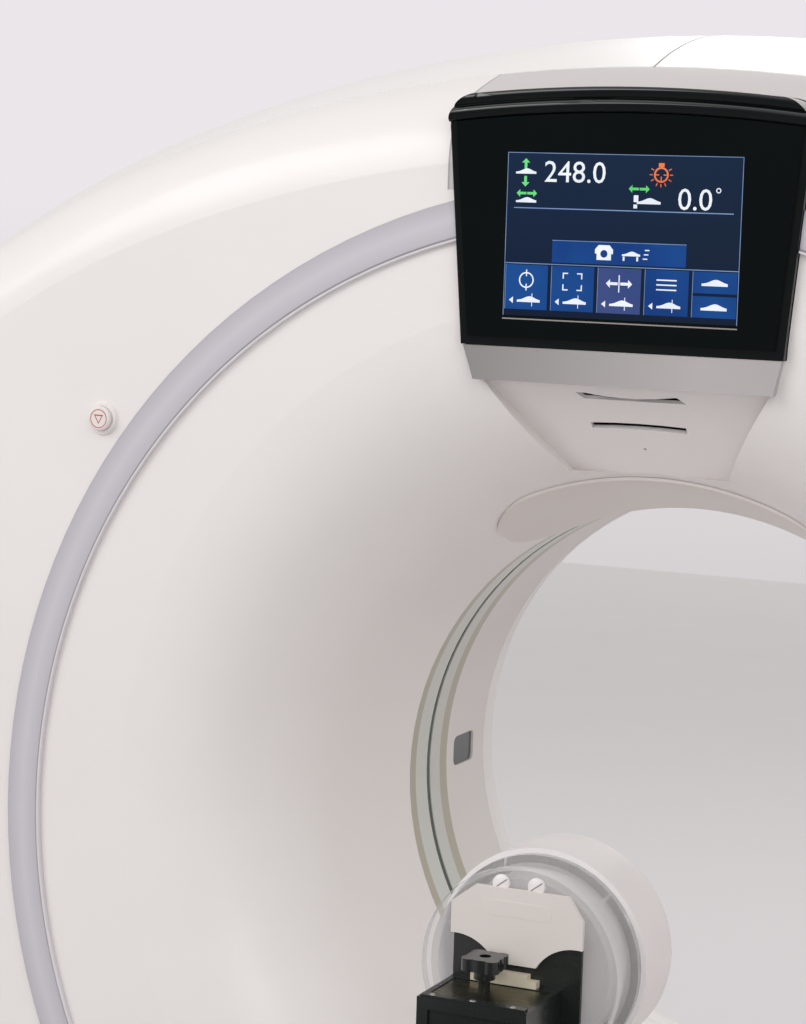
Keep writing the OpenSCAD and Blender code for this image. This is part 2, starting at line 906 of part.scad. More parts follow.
// A button with its stem, drawn on the front face and pressed along +Y
module estop_button(side) {
    translate([side * estop_x, -face_y, estop_z]) rotate([90, 0, 0]) {
        translate([0, 0, estop_travel + seat]) cylinder(r = estop_r, h = 5);
        translate([0, 0, estop_travel + seat + 5]) cylinder(r1 = estop_r, r2 = estop_r - 2, h = 1.6);
        translate([0, 0, -wall - 9]) cylinder(r = estop_r - 3 - seat, h = wall + 9 + estop_travel + eps);
    }
}

module estop_front_left() {
    color("#f0eeeb") at_iso() estop_button(-1);
}

module estop_front_right() {
    color("#f0eeeb") at_iso() estop_button(1);
}

module estop_rear_left() {
    color("#f0eeeb") at_iso() mirror([0, 1, 0]) estop_button(-1);
}

module estop_rear_right() {
    color("#f0eeeb") at_iso() mirror([0, 1, 0]) estop_button(1);
}

// Rotor

module rotor_drum() {
    color("#8d949b") at_iso() difference() {
        about_bore(fine_fn) {
            translate([rotor_bore_r, rotor_y]) square([rotor_r - rotor_bore_r, rotor_t]);
            translate([rotor_bore_r, rotor_y - 30]) square([20, 30 + eps]);
            translate([rotor_r - 14, rotor_y - 2]) square([14, rotor_t + 3]);
        }
        for (a = [20 : 40 : 340]) {
            rotate([0, -a, 0]) translate([rotor_r - 45, 0, 0]) rotate([-90, 0, 0])
                cylinder(r = 14, h = face_y);
        }
    }
}

module bearing_inner_race() {
    color("#b4b8bc") at_iso() about_bore(fine_fn) difference() {
        translate([race_r - race_t, rotor_back]) square([race_t - run_fit, race_w]);
        translate([race_r, ball_y]) circle(ball_r + run_fit);
    }
}

module bearing_outer_race() {
    color("#a4a8ac") at_iso() about_bore(fine_fn) difference() {
        translate([race_r + run_fit, race_y]) square([race_t, race_w]);
        translate([race_r, ball_y]) circle(ball_r + run_fit);
    }
}

module bearing_balls() {
    color("#d0d3d6") at_iso() for (i = [0 : ball_n - 1]) {
        rotate([0, i * 360 / ball_n, 0]) translate([race_r, ball_y, 0]) sphere(ball_r, $fn = 24);
    }
}

// Tube housing with end caps, cable horns and its foot on the drum
module xray_tube() {
    color("#c6c2b6") at_iso() translate([0, 0, focus_r + tube_r]) {
        translate([0, -140, 0]) rotate([-90, 0, 0]) cylinder(r = tube_r, h = 215);
        translate([0, -158, 0]) rotate([-90, 0, 0]) cylinder(r1 = tube_r - 25, r2 = tube_r - 6, h = 19);
        block([-tube_r + 20, 60, -tube_r + 24], [tube_r - 20, rotor_y, tube_r - 60]);
        for (s = [-1, 1]) {
            translate([s * 46, -60, 40]) rotate([0, s * 35, 0]) cylinder(r = 22, h = 84);
        }
    }
}

module collimator() {
    color("#7d8288") at_iso() difference() {
        union() {
            block([-110, -45, focus_r - 105], [110, 45, focus_r - 18]);
            block([-90, 44, focus_r - 95], [90, rotor_y, focus_r - 40]);
        }
        across(-60, 60) polygon([
            [-6, focus_r - 17], [6, focus_r - 17], [22, focus_r - 106], [-22, focus_r - 106]
        ]);
    }
}

// A sector about the focal spot, below it, between two radii
module focal_sector(r0, r1, half_deg, y0, y1) {
    translate([0, 0, focus_r]) bore_sector(270 - half_deg, 270 + half_deg, fine_fn)
        translate([r0, y0]) square([r1 - r0, y1 - y0]);
}

module detector_arc() {
    color("#9aa0a6") at_iso() difference() {
        union() {
            focal_sector(detector_r, detector_r + 60, detector_deg, -50, 50);
            focal_sector(detector_r + 40, detector_r + 72, detector_deg + 1, -62, rotor_y);
        }
        for (i = [-6 : 6]) {
            translate([0, 0, focus_r]) rotate([0, -90 - i * detector_deg / 6.5, 0])
                translate([-detector_r - eps, -40, -0.6]) cube([14, 80, 1.2]);
        }
    }
}

// Read-out boxes on the back of the detector, with cooling ribs
module data_boxes() {
    color("#6f757c") at_iso() for (i = [-2 : 2]) {
        rotate_focus(i * 9.5) {
            block([-68, -58, -detector_r - 132], [68, rotor_y - seat, -detector_r - 73]);
            for (x = [-54 : 18 : 54]) {
                block([x - 3, -58, -detector_r - 142], [x + 3, 60, -detector_r - 131]);
            }
        }
    }
}

module rotate_focus(a) {
    translate([0, 0, focus_r]) rotate([0, a, 0]) children();
}

module hv_tank() {
    color("#b8b4a8") at_iso() {
        block([-690, -120, -60], [-500, rotor_y, 235]);
        for (z = [0, 90, 180]) {
            translate([-595, -119, z]) rotate([90, 0, 0]) cylinder(r = 26, h = 24);
        }
    }
}

// Oil to air heat exchanger: finned core in a frame, with two fans
module heat_exchanger() {
    color("#a9aeb3") at_iso() {
        difference() {
            block([500, -110, 30], [680, rotor_y, 290]);
            for (z = [95, 225]) {
                translate([590, -50, z]) rotate([90, 0, 0]) cylinder(r = 56, h = 80);
            }
            for (z = [42 : 12 : 278]) {
                block([512, -40, z], [668, 60, z + 6]);
            }
        }
        for (z = [95, 225]) {
            translate([590, -49, z]) rotate([90, 0, 0]) cylinder(r = 18, h = 50);
            for (a = [0 : 51.43 : 350]) {
                translate([590, -70, z]) rotate([0, a, 0]) rotate([30, 0, 0])
                    translate([14, -2, -12]) cube([40, 3, 24]);
            }
        }
    }
}

// Annular platter with its contact tracks
module slip_ring() {
    color("#c3a878") at_iso() about_bore(fine_fn) difference() {
        translate([race_r + race_t + 60, rotor_back]) square([120, 18]);
        for (i = [0 : 4]) {
            translate([race_r + race_t + 72 + i * 21, rotor_back + 13]) square([12, 6]);
        }
    }
}

module counterweights() {
    color("#5d6267") at_iso() both_sides() for (i = [0 : 2]) {
        block([545 + i * 6, rotor_y - (i + 1) * 60, -320], [650, rotor_y - i * (60 + seat), -190]);
    }
}

module brush_block() {
    y0 = rotor_back + 18 + seat;
    color("#43474b") at_iso() rotate([0, -200, 0]) difference() {
        block([race_r + race_t + 64, y0, -40], [race_r + race_t + 176, stator_y, 40]);
        for (z = [-24, -8, 8, 24]) {
            block([race_r + race_t + 72, y0 - eps, z - 3], [race_r + race_t + 168, y0 + 8, z + 3]);
        }
    }
}

module drive_motor() {
    color("#4e5a66") at_iso() translate([motor_x, 0, motor_z]) rotate([-90, 0, 0]) difference() {
        union() {
            translate([0, 0, stator_y + stator_t]) cylinder(r = motor_r, h = 100);
            for (a = [0 : 20 : 340]) {
                rotate(a) translate([motor_r - 2, -2, stator_y + stator_t + 10]) cube([8, 4, 80]);
            }
        }
        translate([0, 0, stator_y]) cylinder(r = motor_shaft_r + run_fit, h = 130);
    }
}

// Motor pulley with its flanges and the motor shaft
module drive_pulley() {
    color("#9ea3a8") at_iso() translate([motor_x, 0, motor_z]) rotate([-90, 0, 0]) {
        translate([0, 0, belt_y - 1]) cylinder(r = pulley_r, h = belt_w + 2);
        for (y = [belt_y - 4, belt_y + belt_w + 1]) {
            translate([0, 0, y]) cylinder(r = pulley_r + belt_t + 3, h = 3);
        }
        translate([0, 0, belt_y]) cylinder(r = motor_shaft_r, h = stator_y + stator_t + 80 - belt_y);
    }
}

// Flat belt: two wraps and two straight runs, tangent to both
module drive_belt() {
    span = rotor_r + 100;
    tangent = acos((rotor_r - pulley_r) / span);
    r0 = rotor_r + seat;
    r1 = pulley_r + seat;
    run = sqrt(span * span - pow(rotor_r - pulley_r, 2));
    color("#2a2a2b") at_iso() rotate([0, -motor_deg, 0]) {
        bore_sector(tangent, 360 - tangent, fine_fn) translate([r0, belt_y]) square([belt_t, belt_w]);
        translate([span, 0, 0]) bore_sector(-tangent, tangent)
            translate([r1, belt_y]) square([belt_t, belt_w]);
        for (s = [0, 1]) mirror([0, 0, s]) rotate([0, -tangent, 0])
            block([r0 + lap, belt_y, -run - lap_run],
                  [r0 + belt_t - lap, belt_y + belt_w, lap_run]);
    }
}

// Stator frame: bearing plate, cheeks with trunnions and the posts that carry the covers
module stator_frame() {
    color("#77808a") at_iso() {
        difference() {
            union() {
                upright(stator_y, stator_y + stator_t) stator_outline();
                both_sides() cheek();
            }
            about_bore(fine_fn) translate([0, stator_y - eps])
                square([race_r + race_t / 2, stator_t + 2 * eps]);
            translate([motor_x, stator_y - eps, motor_z]) rotate([-90, 0, 0])
                cylinder(r = motor_shaft_r + 4, h = stator_t + 2 * eps);
        }
        both_sides() {
            for (p = [post_top, post_low]) cover_post(p);
            translate([stator_hw - eps, 0, 0]) rotate([0, 90, 0])
                cylinder(r = trunnion_r, h = trunnion_end - stator_hw + eps);
            translate([stator_hw - eps, 0, 0]) rotate([0, 90, 0])
                cylinder(r = trunnion_r + 18, h = 24);
        }
    }
}

module stator_outline() {
    intersection() {
        circle(rotor_r + 38, $fn = fine_fn);
        translate([-stator_hw, -stator_low]) square(2 * stator_hw);
    }
    square([2 * stator_hw, 2 * cheek_h], center = true);
    translate([motor_x, motor_z]) circle(motor_r + 12);
    for (s = [-1, 1]) {
        lug(s * post_top[0], post_top[1]);
        lug(s * post_low[0], post_low[1]);
    }
}

// Flat lug from the bearing plate out to a post
module lug(x, z) {
    rotate(atan2(z, x)) translate([0, -post_w / 2]) square([norm([x, z]), post_w]);
    translate([x, z]) square(post_w + 16, center = true);
}

module cover_post(p) {
    reach = face_y - wall - seat;
    block([p[0] - post_w / 2, -reach, p[1] - post_w / 2], [p[0] + post_w / 2, reach, p[1] + post_w / 2]);
}

// Box cheek that reaches forward from the plate to the tilt axis
module cheek() {
    difference() {
        block([stator_hw - cheek_w, cheek_y, -cheek_h], [stator_hw, stator_y + eps, cheek_h]);
        block([stator_hw - cheek_w - eps, cheek_y + 24, -cheek_h + 24],
              [stator_hw - 24, stator_y - 24, cheek_h - 24]);
    }
}

// Stands and floor plates

module base_plates() {
    color("#6a7076") difference() {
        union() {
            both_sides() block([shell_hw + 15, -stand_hl - 20, 0], [cover_x, stand_hl + 20, floor_t]);
            block([-shell_hw - 16, -120, 0], [shell_hw + 16, 120, floor_t]);
        }
        for (x = [-anchor_x, anchor_x], y = [-anchor_y, anchor_y]) {
            translate([x, y, -eps]) cylinder(r = anchor_r, h = floor_t + 2 * eps);
        }
    }
}

// Low cable duct on the floor between the gantry and the table
module floor_duct() {
    color("#b7b5b2") difference() {
        across(-90, 90) polygon([
            [-base_y + base_hl, 0], [-120, 0], [-120, 18], [-base_y + base_hl, 18]
        ]);
        block([-80, -base_y + base_hl + 10, -eps], [80, -130, 14]);
    }
}

// Side profile of a stand, of (y, z)
module stand_profile() {
    top = iso_h;
    polygon([
        [-stand_hl, stand_foot_h], [stand_hl, stand_foot_h], [stand_hl, stand_foot_h + 60],
        [bearing_or + 35, top], [-bearing_or - 35, top], [-stand_hl, stand_foot_h + 60]
    ]);
    translate([0, top]) circle(bearing_or + 35);
}

// Round lightening holes of a stand, of (y, z)
module stand_holes() {
    for (p = [[0, iso_h - 290], [0, iso_h - 520], [-190, 230], [190, 230]]) {
        translate(p) circle(85);
    }
}

module stand() {
    difference() {
        across(stand_x, stand_x + stand_t) difference() {
            stand_profile();
            stand_holes();
        }
        translate([stand_x - eps, 0, iso_h]) rotate([0, 90, 0])
            cylinder(r = bearing_or, h = stand_t + 2 * eps);
    }
}

module stand_right() {
    color("#727a82") stand();
}

module stand_left() {
    color("#727a82") mirror([1, 0, 0]) stand();
}

module trunnion_bearings() {
    color("#aeb2b6") at_iso() both_sides() translate([stand_x, 0, 0]) rotate([0, 90, 0]) difference() {
        cylinder(r = bearing_or - run_fit, h = stand_t);
        translate([0, 0, -eps]) cylinder(r = trunnion_r + run_fit, h = stand_t + 2 * eps);
    }
}

// Flat gearbox that holds the right trunnion's end, with its motor below
module tilt_gearmotor() {
    x0 = stand_x + stand_t;
    color("#4a5560") at_iso() difference() {
        union() {
            translate([x0, 0, 0]) rotate([0, 90, 0]) cylinder(r = gear_r, h = gear_t);
            translate([x0 + gear_t / 2, 0, -360]) cylinder(r = 20, h = 260);
            translate([x0 + gear_t / 2 + 2, 0, -400]) cylinder(r = 21, h = 150);
            block([x0, -24, -330], [x0 + gear_t, 24, -100]);
        }
        translate([x0 - eps, 0, 0]) rotate([0, 90, 0])
            cylinder(r = trunnion_r + run_fit, h = trunnion_end - x0 + 3);
    }
}

// Moulded cover round a stand: pillar with a round head and a soft outer edge
module stand_cover() {
    difference() {
        stand_cover_form(0);
        stand_cover_form(cover_t);
        translate([cover_in - eps, 0, iso_h]) rotate([0, 90, 0])
            cylinder(r = trunnion_r + 10, h = cover_t + 2 * eps);
    }
}

// Solid form of the cover, shrunk by a wall, its outer edge rounded in four steps
module stand_cover_form(shrink) {
    edge = 26;
    hull() for (i = [0 : 4]) {
        a = i * 22.5;
        drop = edge * (1 - cos(a)) + shrink;
        x = cover_x - edge + edge * sin(a) - shrink;
        translate([cover_in + shrink, 0, 0]) {
            translate([0, 0, iso_h]) rotate([0, 90, 0])
                cylinder(r = cover_top_r - drop, h = x - cover_in - shrink, $fn = 48);
            translate([0, -stand_hl - 20 + drop, floor_t - (shrink > 0 ? eps : 0)])
                cube([x - cover_in - shrink, 2 * (stand_hl + 20 - drop), 180]);
        }
    }
}

module stand_cover_right() {
    color("#eceae7") stand_cover();
}

module stand_cover_left() {
    color("#eceae7") mirror([1, 0, 0]) stand_cover();
}

// Table

// Rounded tube of the lift shrouds, a number of steps inside the outermost one, with a wiper lip
module shroud(steps, z) {
    hw = shroud_hw - steps * shroud_step;
    hl = shroud_hl - steps * shroud_step;
    r = 40 - steps * shroud_step;
    play = shroud_step - seat;
    translate([0, -base_y, z]) {
        linear_extrude(shroud_h) difference() {
            round_rect(2 * hw, 2 * hl, r);
            round_rect(2 * (hw - shroud_t), 2 * (hl - shroud_t), r - shroud_t);
        }
        if (steps < 2) {
            translate([0, 0, shroud_h - lip_h]) linear_extrude(lip_h) difference() {
                round_rect(2 * hw - shroud_t, 2 * hl - shroud_t, r - shroud_t / 2);
                round_rect(2 * (hw - play), 2 * (hl - play), r - play);
            }
        }
    }
}

module table_base() {
    color("#dcdad7") {
        difference() {
            translate([0, -base_y, 0]) linear_extrude(base_t) round_rect(2 * base_hw, 2 * base_hl, 40);
            for (x = [-1, 1], y = [-1, 1]) {
                translate([x * anchor_table[0], -base_y + y * anchor_table[1], -eps])
                    cylinder(r = anchor_r, h = base_t + 2 * eps);
            }
        }
        shroud(0, shroud_low_z);
    }
}

module lift_tube(i, z) {
    for (s = [-1, 1]) {
        translate([0, -base_y + s * tube_y, z]) difference() {
            cylinder(r = tube_rs[i], h = tube_h);
            translate([0, 0, -eps]) cylinder(r = tube_rs[i + 1] + 0.3, h = tube_h + 2 * eps);
        }
    }
}

module lift_tube_low() {
    color("#9aa0a5") lift_tube(0, base_t);
}

module lift_tube_mid() {
    color("#b2b7bb") lift_tube(1, shroud_mid_z);
}

module lift_shroud_mid() {
    color("#d2d0cd") shroud(1, shroud_mid_z);
}

// Outline of the table frame, of (x, z), shrunk by a wall
module frame_outline(shrink) {
    top = frame_top - shrink;
    low = frame_z + shrink;
    half = frame_hw - shrink;
    difference() {
        union() {
            translate([-half, frame_z + 40]) square([2 * half, top - frame_z - 40]);
            translate([-frame_hw + 40, low]) square([2 * frame_hw - 80, 60]);
            for (s = [-1, 1]) translate([s * (frame_hw - 40), frame_z + 40]) circle(40 - shrink);
        }
        translate([0, cradle_cz]) circle(cradle_r + rail_t + shrink, $fn = fine_fn);
    }
}

// Long hollow frame under the cradle, with its own lift shroud and lift rods
module table_frame() {
    color("#e2e0dd") {
        difference() {
            translate([0, -frame_y, 0]) rotate([90, 0, 0]) linear_extrude(frame_l) frame_outline(0);
            translate([0, -frame_y - frame_wall, 0]) rotate([90, 0, 0])
                linear_extrude(frame_l - 2 * frame_wall) frame_outline(frame_wall);
        }
        shroud(2, shroud_top_z);
        for (s = [-1, 1]) {
            translate([0, -base_y + s * tube_y, shroud_top_z + 8])
                cylinder(r = tube_rs[2], h = shroud_h - 8);
        }
    }
}

// Two glide strips that the cradle slides on
module glide_rails() {
    color("#54585c") translate([0, -frame_y - 40, cradle_cz]) rotate([90, 0, 0])
        linear_extrude(frame_l - 80) for (s = [-1, 1]) {
            intersection() {
                difference() {
                    circle(cradle_r + rail_t, $fn = fine_fn);
                    circle(cradle_r + seat, $fn = fine_fn);
                }
                polygon([
                    [0, 0], rail_point(s, rail_deg[0]), rail_point(s, rail_deg[1])
                ]);
            }
        }
}

function rail_point(s, a) = [s * 2 * cradle_r * sin(a), -2 * cradle_r * cos(a)];

// Section of the cradle between two radii, of (x, z) about the cradle's centre
module cradle_sector(r0, r1, half_deg) {
    intersection() {
        difference() {
            circle(r1, $fn = fine_fn);
            circle(r0, $fn = fine_fn);
        }
        polygon([
            [0, 0], [-2 * r1 * sin(half_deg), -2 * r1 * cos(half_deg)],
            [0, -3 * r1], [2 * r1 * sin(half_deg), -2 * r1 * cos(half_deg)]
        ]);
    }
}

// Carries a section along the cradle, from its head end
module along_cradle(start, length) {
    translate([0, -cradle_y - start, cradle_cz]) rotate([90, 0, 0]) linear_extrude(length) children();
}

// Carbon shell, a trough with a bead along each edge and a round head end
module cradle() {
    mid = cradle_r - cradle_t / 2;
    color("#3b3d40") intersection() {
        along_cradle(0, cradle_l) {
            cradle_sector(cradle_r - cradle_t, cradle_r, cradle_deg);
            for (s = [-1, 1]) {
                translate([s * mid * sin(cradle_deg), -mid * cos(cradle_deg)]) circle(cradle_t / 2);
            }
        }
        translate([0, -cradle_y - cradle_l / 2, cradle_z - eps]) linear_extrude(cradle_r)
            round_rect(2 * cradle_hw + 20, cradle_l, 110);
    }
}

// Foam pad that lies in the trough
module cradle_pad() {
    color("#3f454b") intersection() {
        along_cradle(190, cradle_l - 260)
            cradle_sector(cradle_r - cradle_t - seat - pad_t, cradle_r - cradle_t - seat, cradle_deg - 6);
        translate([0, -cradle_y - 190 - (cradle_l - 260) / 2, cradle_z])
            linear_extrude(cradle_r) round_rect(2 * cradle_hw - 30, cradle_l - 260, 60);
    }
}

// Phantom and its holder

// Black box with its bracket into the cradle's head end
module holder_box() {
    x0 = box_x - box_w / 2;
    y0 = -box_y1 - box_d;
    foot_z = cradle_cz - sqrt(pow(cradle_r - cradle_t, 2) - pow(abs(box_x) + box_w / 2 - 14, 2));
    color("#1c1f1e") {
        difference() {
            block([x0, y0, box_z1 - box_h], [x0 + box_w, -box_y1, box_z1]);
            block([x0 + 12, y0 - eps, box_z1 - box_h + 14], [x0 + box_w - 12, y0 + 3, box_z1 - 12]);
            block([x0 + 6, y0 + 20, box_z1 - 2], [x0 + box_w - 6, -box_y1 - 12, box_z1 + eps]);
            translate([knob_x, -knob_y, box_z1 - 30]) cylinder(r = 6 + run_fit, h = 40);
        }
        block([x0 + 14, -cradle_y - 150, foot_z + seat], [x0 + box_w - 14, y0 + 30, foot_z + 14]);
        block([x0 + 14, y0 + 14, foot_z + seat], [x0 + box_w - 14, y0 + 30, box_z1 - box_h + eps]);
        for (x = [x0 + 40, x0 + box_w - 40]) {
            translate([x, -cradle_y - 90, foot_z + 13]) cylinder(r = 15, h = 14);
        }
    }
}

// Knob with four lobes on a screw
module holder_knob() {
    color("#141516") translate([knob_x, -knob_y, box_z1]) {
        translate([0, 0, -28]) cylinder(r = 6, h = 50);
        translate([0, 0, 12]) cylinder(r = 11, h = 12);
        difference() {
            union() {
                translate([0, 0, 22]) cylinder(r = knob_r - 6, h = 13);
                for (a = [45 : 90 : 315]) {
                    rotate(a) translate([knob_r - 8, 0, 22]) cylinder(r = 8, h = 13);
                }
            }
            translate([0, 0, 31]) cylinder(r = 6, h = 5);
        }
    }
}

// Black plate between the box and the phantom
module holder_plate() {
    color("#23261f") upright_at(-phantom_y - plate_t) translate([phantom_x, 0])
        translate([-plate_w / 2 + 2, box_z1 - box_h])
            square([plate_w - 4, plate_fold_z - box_z1 + box_h + 10]);
}

// Stands an outline up as a plate whose front face lies at y
module upright_at(y) {
    translate([0, y + plate_t, 0]) rotate([90, 0, 0]) linear_extrude(plate_t) children();
}

// White plate with cut corners and a bulge between two curved bites in its lower edge
module phantom_plate() {
    half = plate_w / 2;
    color("#e9e4df") upright_at(-phantom_y - 2 * plate_t) translate([phantom_x, 0]) difference() {
        polygon([
            [-half, plate_fold_z - plate_bulge], [half, plate_fold_z - plate_bulge],
            [half, plate_z1 - 24], [half - 16, plate_z1], [-half + 26, plate_z1], [-half, plate_z1 - 20]
        ]);
        for (s = [-1, 1]) {
            translate([s * (half - 6), plate_fold_z - bite_r]) circle(bite_r);
        }
    }
}

// Clear acrylic front: flange, waist and rear ring
module phantom_flange() {
    color([0.86, 0.9, 0.92, 0.5]) translate([phantom_x, -phantom_y, phantom_z]) rotate([-90, 0, 0]) {
        difference() {
            union() {
                cylinder(r = flange_r, h = 12);
                cylinder(r = flange_r - 5, h = clear_l);
                translate([0, 0, clear_l - 9]) cylinder(r = flange_r + 3, h = 9);
            }
            translate([0, 0, 12]) cylinder(r = flange_r - 13, h = clear_l);
        }
    }
}

// White rear body with a rounded far edge
module phantom_body() {
    soft = 6;
    color("#efece9") translate([phantom_x, -phantom_y + clear_l, phantom_z]) rotate([-90, 0, 0])
        rotate_extrude() {
            square([body_r, body_l - soft]);
            square([body_r - soft, body_l]);
            translate([body_r - soft, body_l - soft]) circle(soft);
        }
}

base_plates();
floor_duct();
stand_left();
stand_right();
stand_cover_left();
stand_cover_right();
trunnion_bearings();
tilt_gearmotor();
table_base();
lift_tube_low();
stator_frame();
front_cover();
rear_cover();
top_cover_left();
top_cover_right();
arc_trims();
lozenge_cover();
console_housing();
console_glass();
screen_panel();
console_band();
slot_insert();
breathing_lights();
window_rings();
window_film();
rear_liner();
laser_windows();
estop_collars();
bearing_outer_race();
bearing_balls();
brush_block();
drive_motor();
drive_belt();
estop_front_left();
estop_front_right();
estop_rear_left();
estop_rear_right();
rotor_drum();
bearing_inner_race();
xray_tube();
hv_tank();
collimator();
detector_arc();
data_boxes();
heat_exchanger();
slip_ring();
counterweights();
drive_pulley();
lift_shroud_mid();
lift_tube_mid();
table_frame();
glide_rails();
cradle();
cradle_pad();
holder_box();
holder_plate();
phantom_plate();
phantom_flange();
phantom_body();
holder_knob();
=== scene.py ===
"""Looks of the CT scanner: finishes for every part of the frame, the console's picture, the details
of the test phantom and its holder, the marks of the stop buttons and the padded couch top.
Metres, +Z up."""
import math

import bmesh
import bpy
import numpy as np
from mathutils import Matrix, Vector


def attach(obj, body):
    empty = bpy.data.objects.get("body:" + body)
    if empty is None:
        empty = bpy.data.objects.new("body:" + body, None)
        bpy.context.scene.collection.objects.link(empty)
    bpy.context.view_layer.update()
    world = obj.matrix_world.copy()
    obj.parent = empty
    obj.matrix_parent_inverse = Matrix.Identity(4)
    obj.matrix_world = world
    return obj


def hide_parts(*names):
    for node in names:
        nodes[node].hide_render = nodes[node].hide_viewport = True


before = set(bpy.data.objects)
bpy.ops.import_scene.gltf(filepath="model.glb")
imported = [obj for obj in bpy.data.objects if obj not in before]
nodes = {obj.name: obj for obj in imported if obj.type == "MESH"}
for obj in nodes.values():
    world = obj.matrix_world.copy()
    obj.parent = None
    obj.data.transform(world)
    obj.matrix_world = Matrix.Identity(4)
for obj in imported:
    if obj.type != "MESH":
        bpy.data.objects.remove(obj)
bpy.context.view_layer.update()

ISO = 1.0                # height of the bore's axis
SCREEN_FACE = -0.3425    # y of the console's screen
GLASS_FACE = -0.3430     # y of the touch glass round the screen
STOP_FACE = 0.3409       # distance of a stop button's face from the gantry's middle plane
FLANGE_FACE = -0.5050    # y of the flange face that carries the thumb screws
PLATE_FACE = -0.5150     # y of the white plate's outer face
BOX_TOP = 0.9000         # height of the holder box's rim


# ---------------------------------------------------------------- shader nodes

SOCKET_KINDS = {"c": "NodeSocketColor", "f": "NodeSocketFloat", "v": "NodeSocketVector"}


def new_group(name, inputs, outputs):
    """Empty shader group with named sockets; returns its tree, input node and output node."""
    tree = bpy.data.node_groups.new(name, "ShaderNodeTree")
    for direction, sockets in (("INPUT", inputs), ("OUTPUT", outputs)):
        for label, kind in sockets:
            tree.interface.new_socket(name=label, in_out=direction, socket_type=SOCKET_KINDS[kind])
    return tree, tree.nodes.new("NodeGroupInput"), tree.nodes.new("NodeGroupOutput")


def add(tree, kind, **values):
    """Adds a node and sets its properties and its sockets' constants."""
    node = tree.nodes.new(kind)
    for key, value in values.items():
        if hasattr(node, key):
            setattr(node, key, value)
        else:
            node.inputs[key.replace("_", " ")].default_value = value
    return node


def feed(tree, target, value):
    """Gives an input a socket to follow, or a constant."""
    if isinstance(value, bpy.types.NodeSocket):
        tree.links.new(value, target)
    else:
        target.default_value = value


def mix_colour(tree, factor, a, b):
    """Mixes two colours by a factor; each argument is a socket or a value."""
    node = add(tree, "ShaderNodeMix", data_type="RGBA")
    for index, value in ((0, factor), (6, a), (7, b)):
        feed(tree, node.inputs[index], value)
    return node.outputs[2]


def math_node(tree, operation, a, b=0.0):
    """Result of a math node; each argument is a socket or a value."""
    node = add(tree, "ShaderNodeMath", operation=operation)
    for index, value in enumerate((a, b)):
        feed(tree, node.inputs[index], value)
    return node.outputs[0]


def spread(tree, value, low, high, to_low=0.0, to_high=1.0):
    """Maps a value's range to another one, clamped; each argument is a socket or a value."""
    node = add(tree, "ShaderNodeMapRange")
    for index, item in enumerate((value, low, high, to_low, to_high)):
        feed(tree, node.inputs[index], item)
    return node.outputs[0]


def weighted(tree, a, b, share):
    """Sum of two values: the share of the first and the rest of the second."""
    return math_node(tree, "ADD", math_node(tree, "MULTIPLY", a, share),
                     math_node(tree, "MULTIPLY", b, 1.0 - share))


def object_place(tree):
    """Socket of the object coordinates."""
    return add(tree, "ShaderNodeTexCoord").outputs["Object"]


def object_xyz(tree):
    """Sockets of the object coordinates' X, Y and Z."""
    split = add(tree, "ShaderNodeSeparateXYZ")
    tree.links.new(object_place(tree), split.inputs[0])
    return split.outputs


def object_axis(tree, axis, low, high):
    """Object coordinate along X, Y or Z (0, 1 or 2), mapped to 0 to 1."""
    return spread(tree, object_xyz(tree)[axis], low, high)


def radius_about(tree, height, low, high):
    """Distance from the line through (0, y, height), mapped from low..high to 0..1."""
    flat = add(tree, "ShaderNodeVectorMath", operation="MULTIPLY_ADD")
    flat.inputs[1].default_value = (1, 0, 1)
    flat.inputs[2].default_value = (0, 0, -height)
    length = add(tree, "ShaderNodeVectorMath", operation="LENGTH")
    tree.links.new(object_place(tree), flat.inputs[0])
    tree.links.new(flat.outputs[0], length.inputs[0])
    return spread(tree, length.outputs["Value"], low, high)


def object_noise(tree, **values):
    """Noise texture over the object coordinates."""
    noise = add(tree, "ShaderNodeTexNoise", **values)
    tree.links.new(object_place(tree), noise.inputs["Vector"])
    return noise


def bump_from(tree, height, strength, distance):
    """Normal of a bump whose height follows a socket."""
    bump = add(tree, "ShaderNodeBump", Strength=strength)
    tree.links.new(height, bump.inputs["Height"])
    feed(tree, bump.inputs["Distance"], distance)
    return bump.outputs["Normal"]


# ---------------------------------------------------------------- shared shader groups

SURFACE_OUTPUTS = [("Colour", "c"), ("Roughness", "f"), ("Normal", "v")]


def wire_surface(tree, given, result, tone, gloss, ends, normal):
    """Outputs of a surface group: the colour follows one value and the roughness another, each
    over the range between the ends."""
    tint = mix_colour(tree, spread(tree, tone, *ends), given.outputs["Colour"],
                      given.outputs["Shade"])
    rough = spread(tree, gloss, *ends, given.outputs["Gloss low"], given.outputs["Gloss high"])
    for label, socket in (("Colour", tint), ("Roughness", rough), ("Normal", normal)):
        tree.links.new(socket, result.inputs[label])


def make_moulded():
    """Moulded or sprayed surface: a broad tonal drift, fine orange peel in the bump and uneven
    gloss."""
    tree, given, result = new_group(
        "moulded_surface",
        [("Colour", "c"), ("Shade", "c"), ("Drift scale", "f"), ("Grain scale", "f"),
         ("Grain depth", "f"), ("Gloss low", "f"), ("Gloss high", "f")], SURFACE_OUTPUTS)
    drift = object_noise(tree, Detail=3.0)
    grain = object_noise(tree, Detail=2.0)
    tree.links.new(given.outputs["Drift scale"], drift.inputs["Scale"])
    tree.links.new(given.outputs["Grain scale"], grain.inputs["Scale"])
    gloss = weighted(tree, drift.outputs["Fac"], grain.outputs["Fac"], 0.6)
    normal = bump_from(tree, grain.outputs["Fac"], 0.35, given.outputs["Grain depth"])
    wire_surface(tree, given, result, drift.outputs["Fac"], gloss, (0.35, 0.65), normal)
    return tree


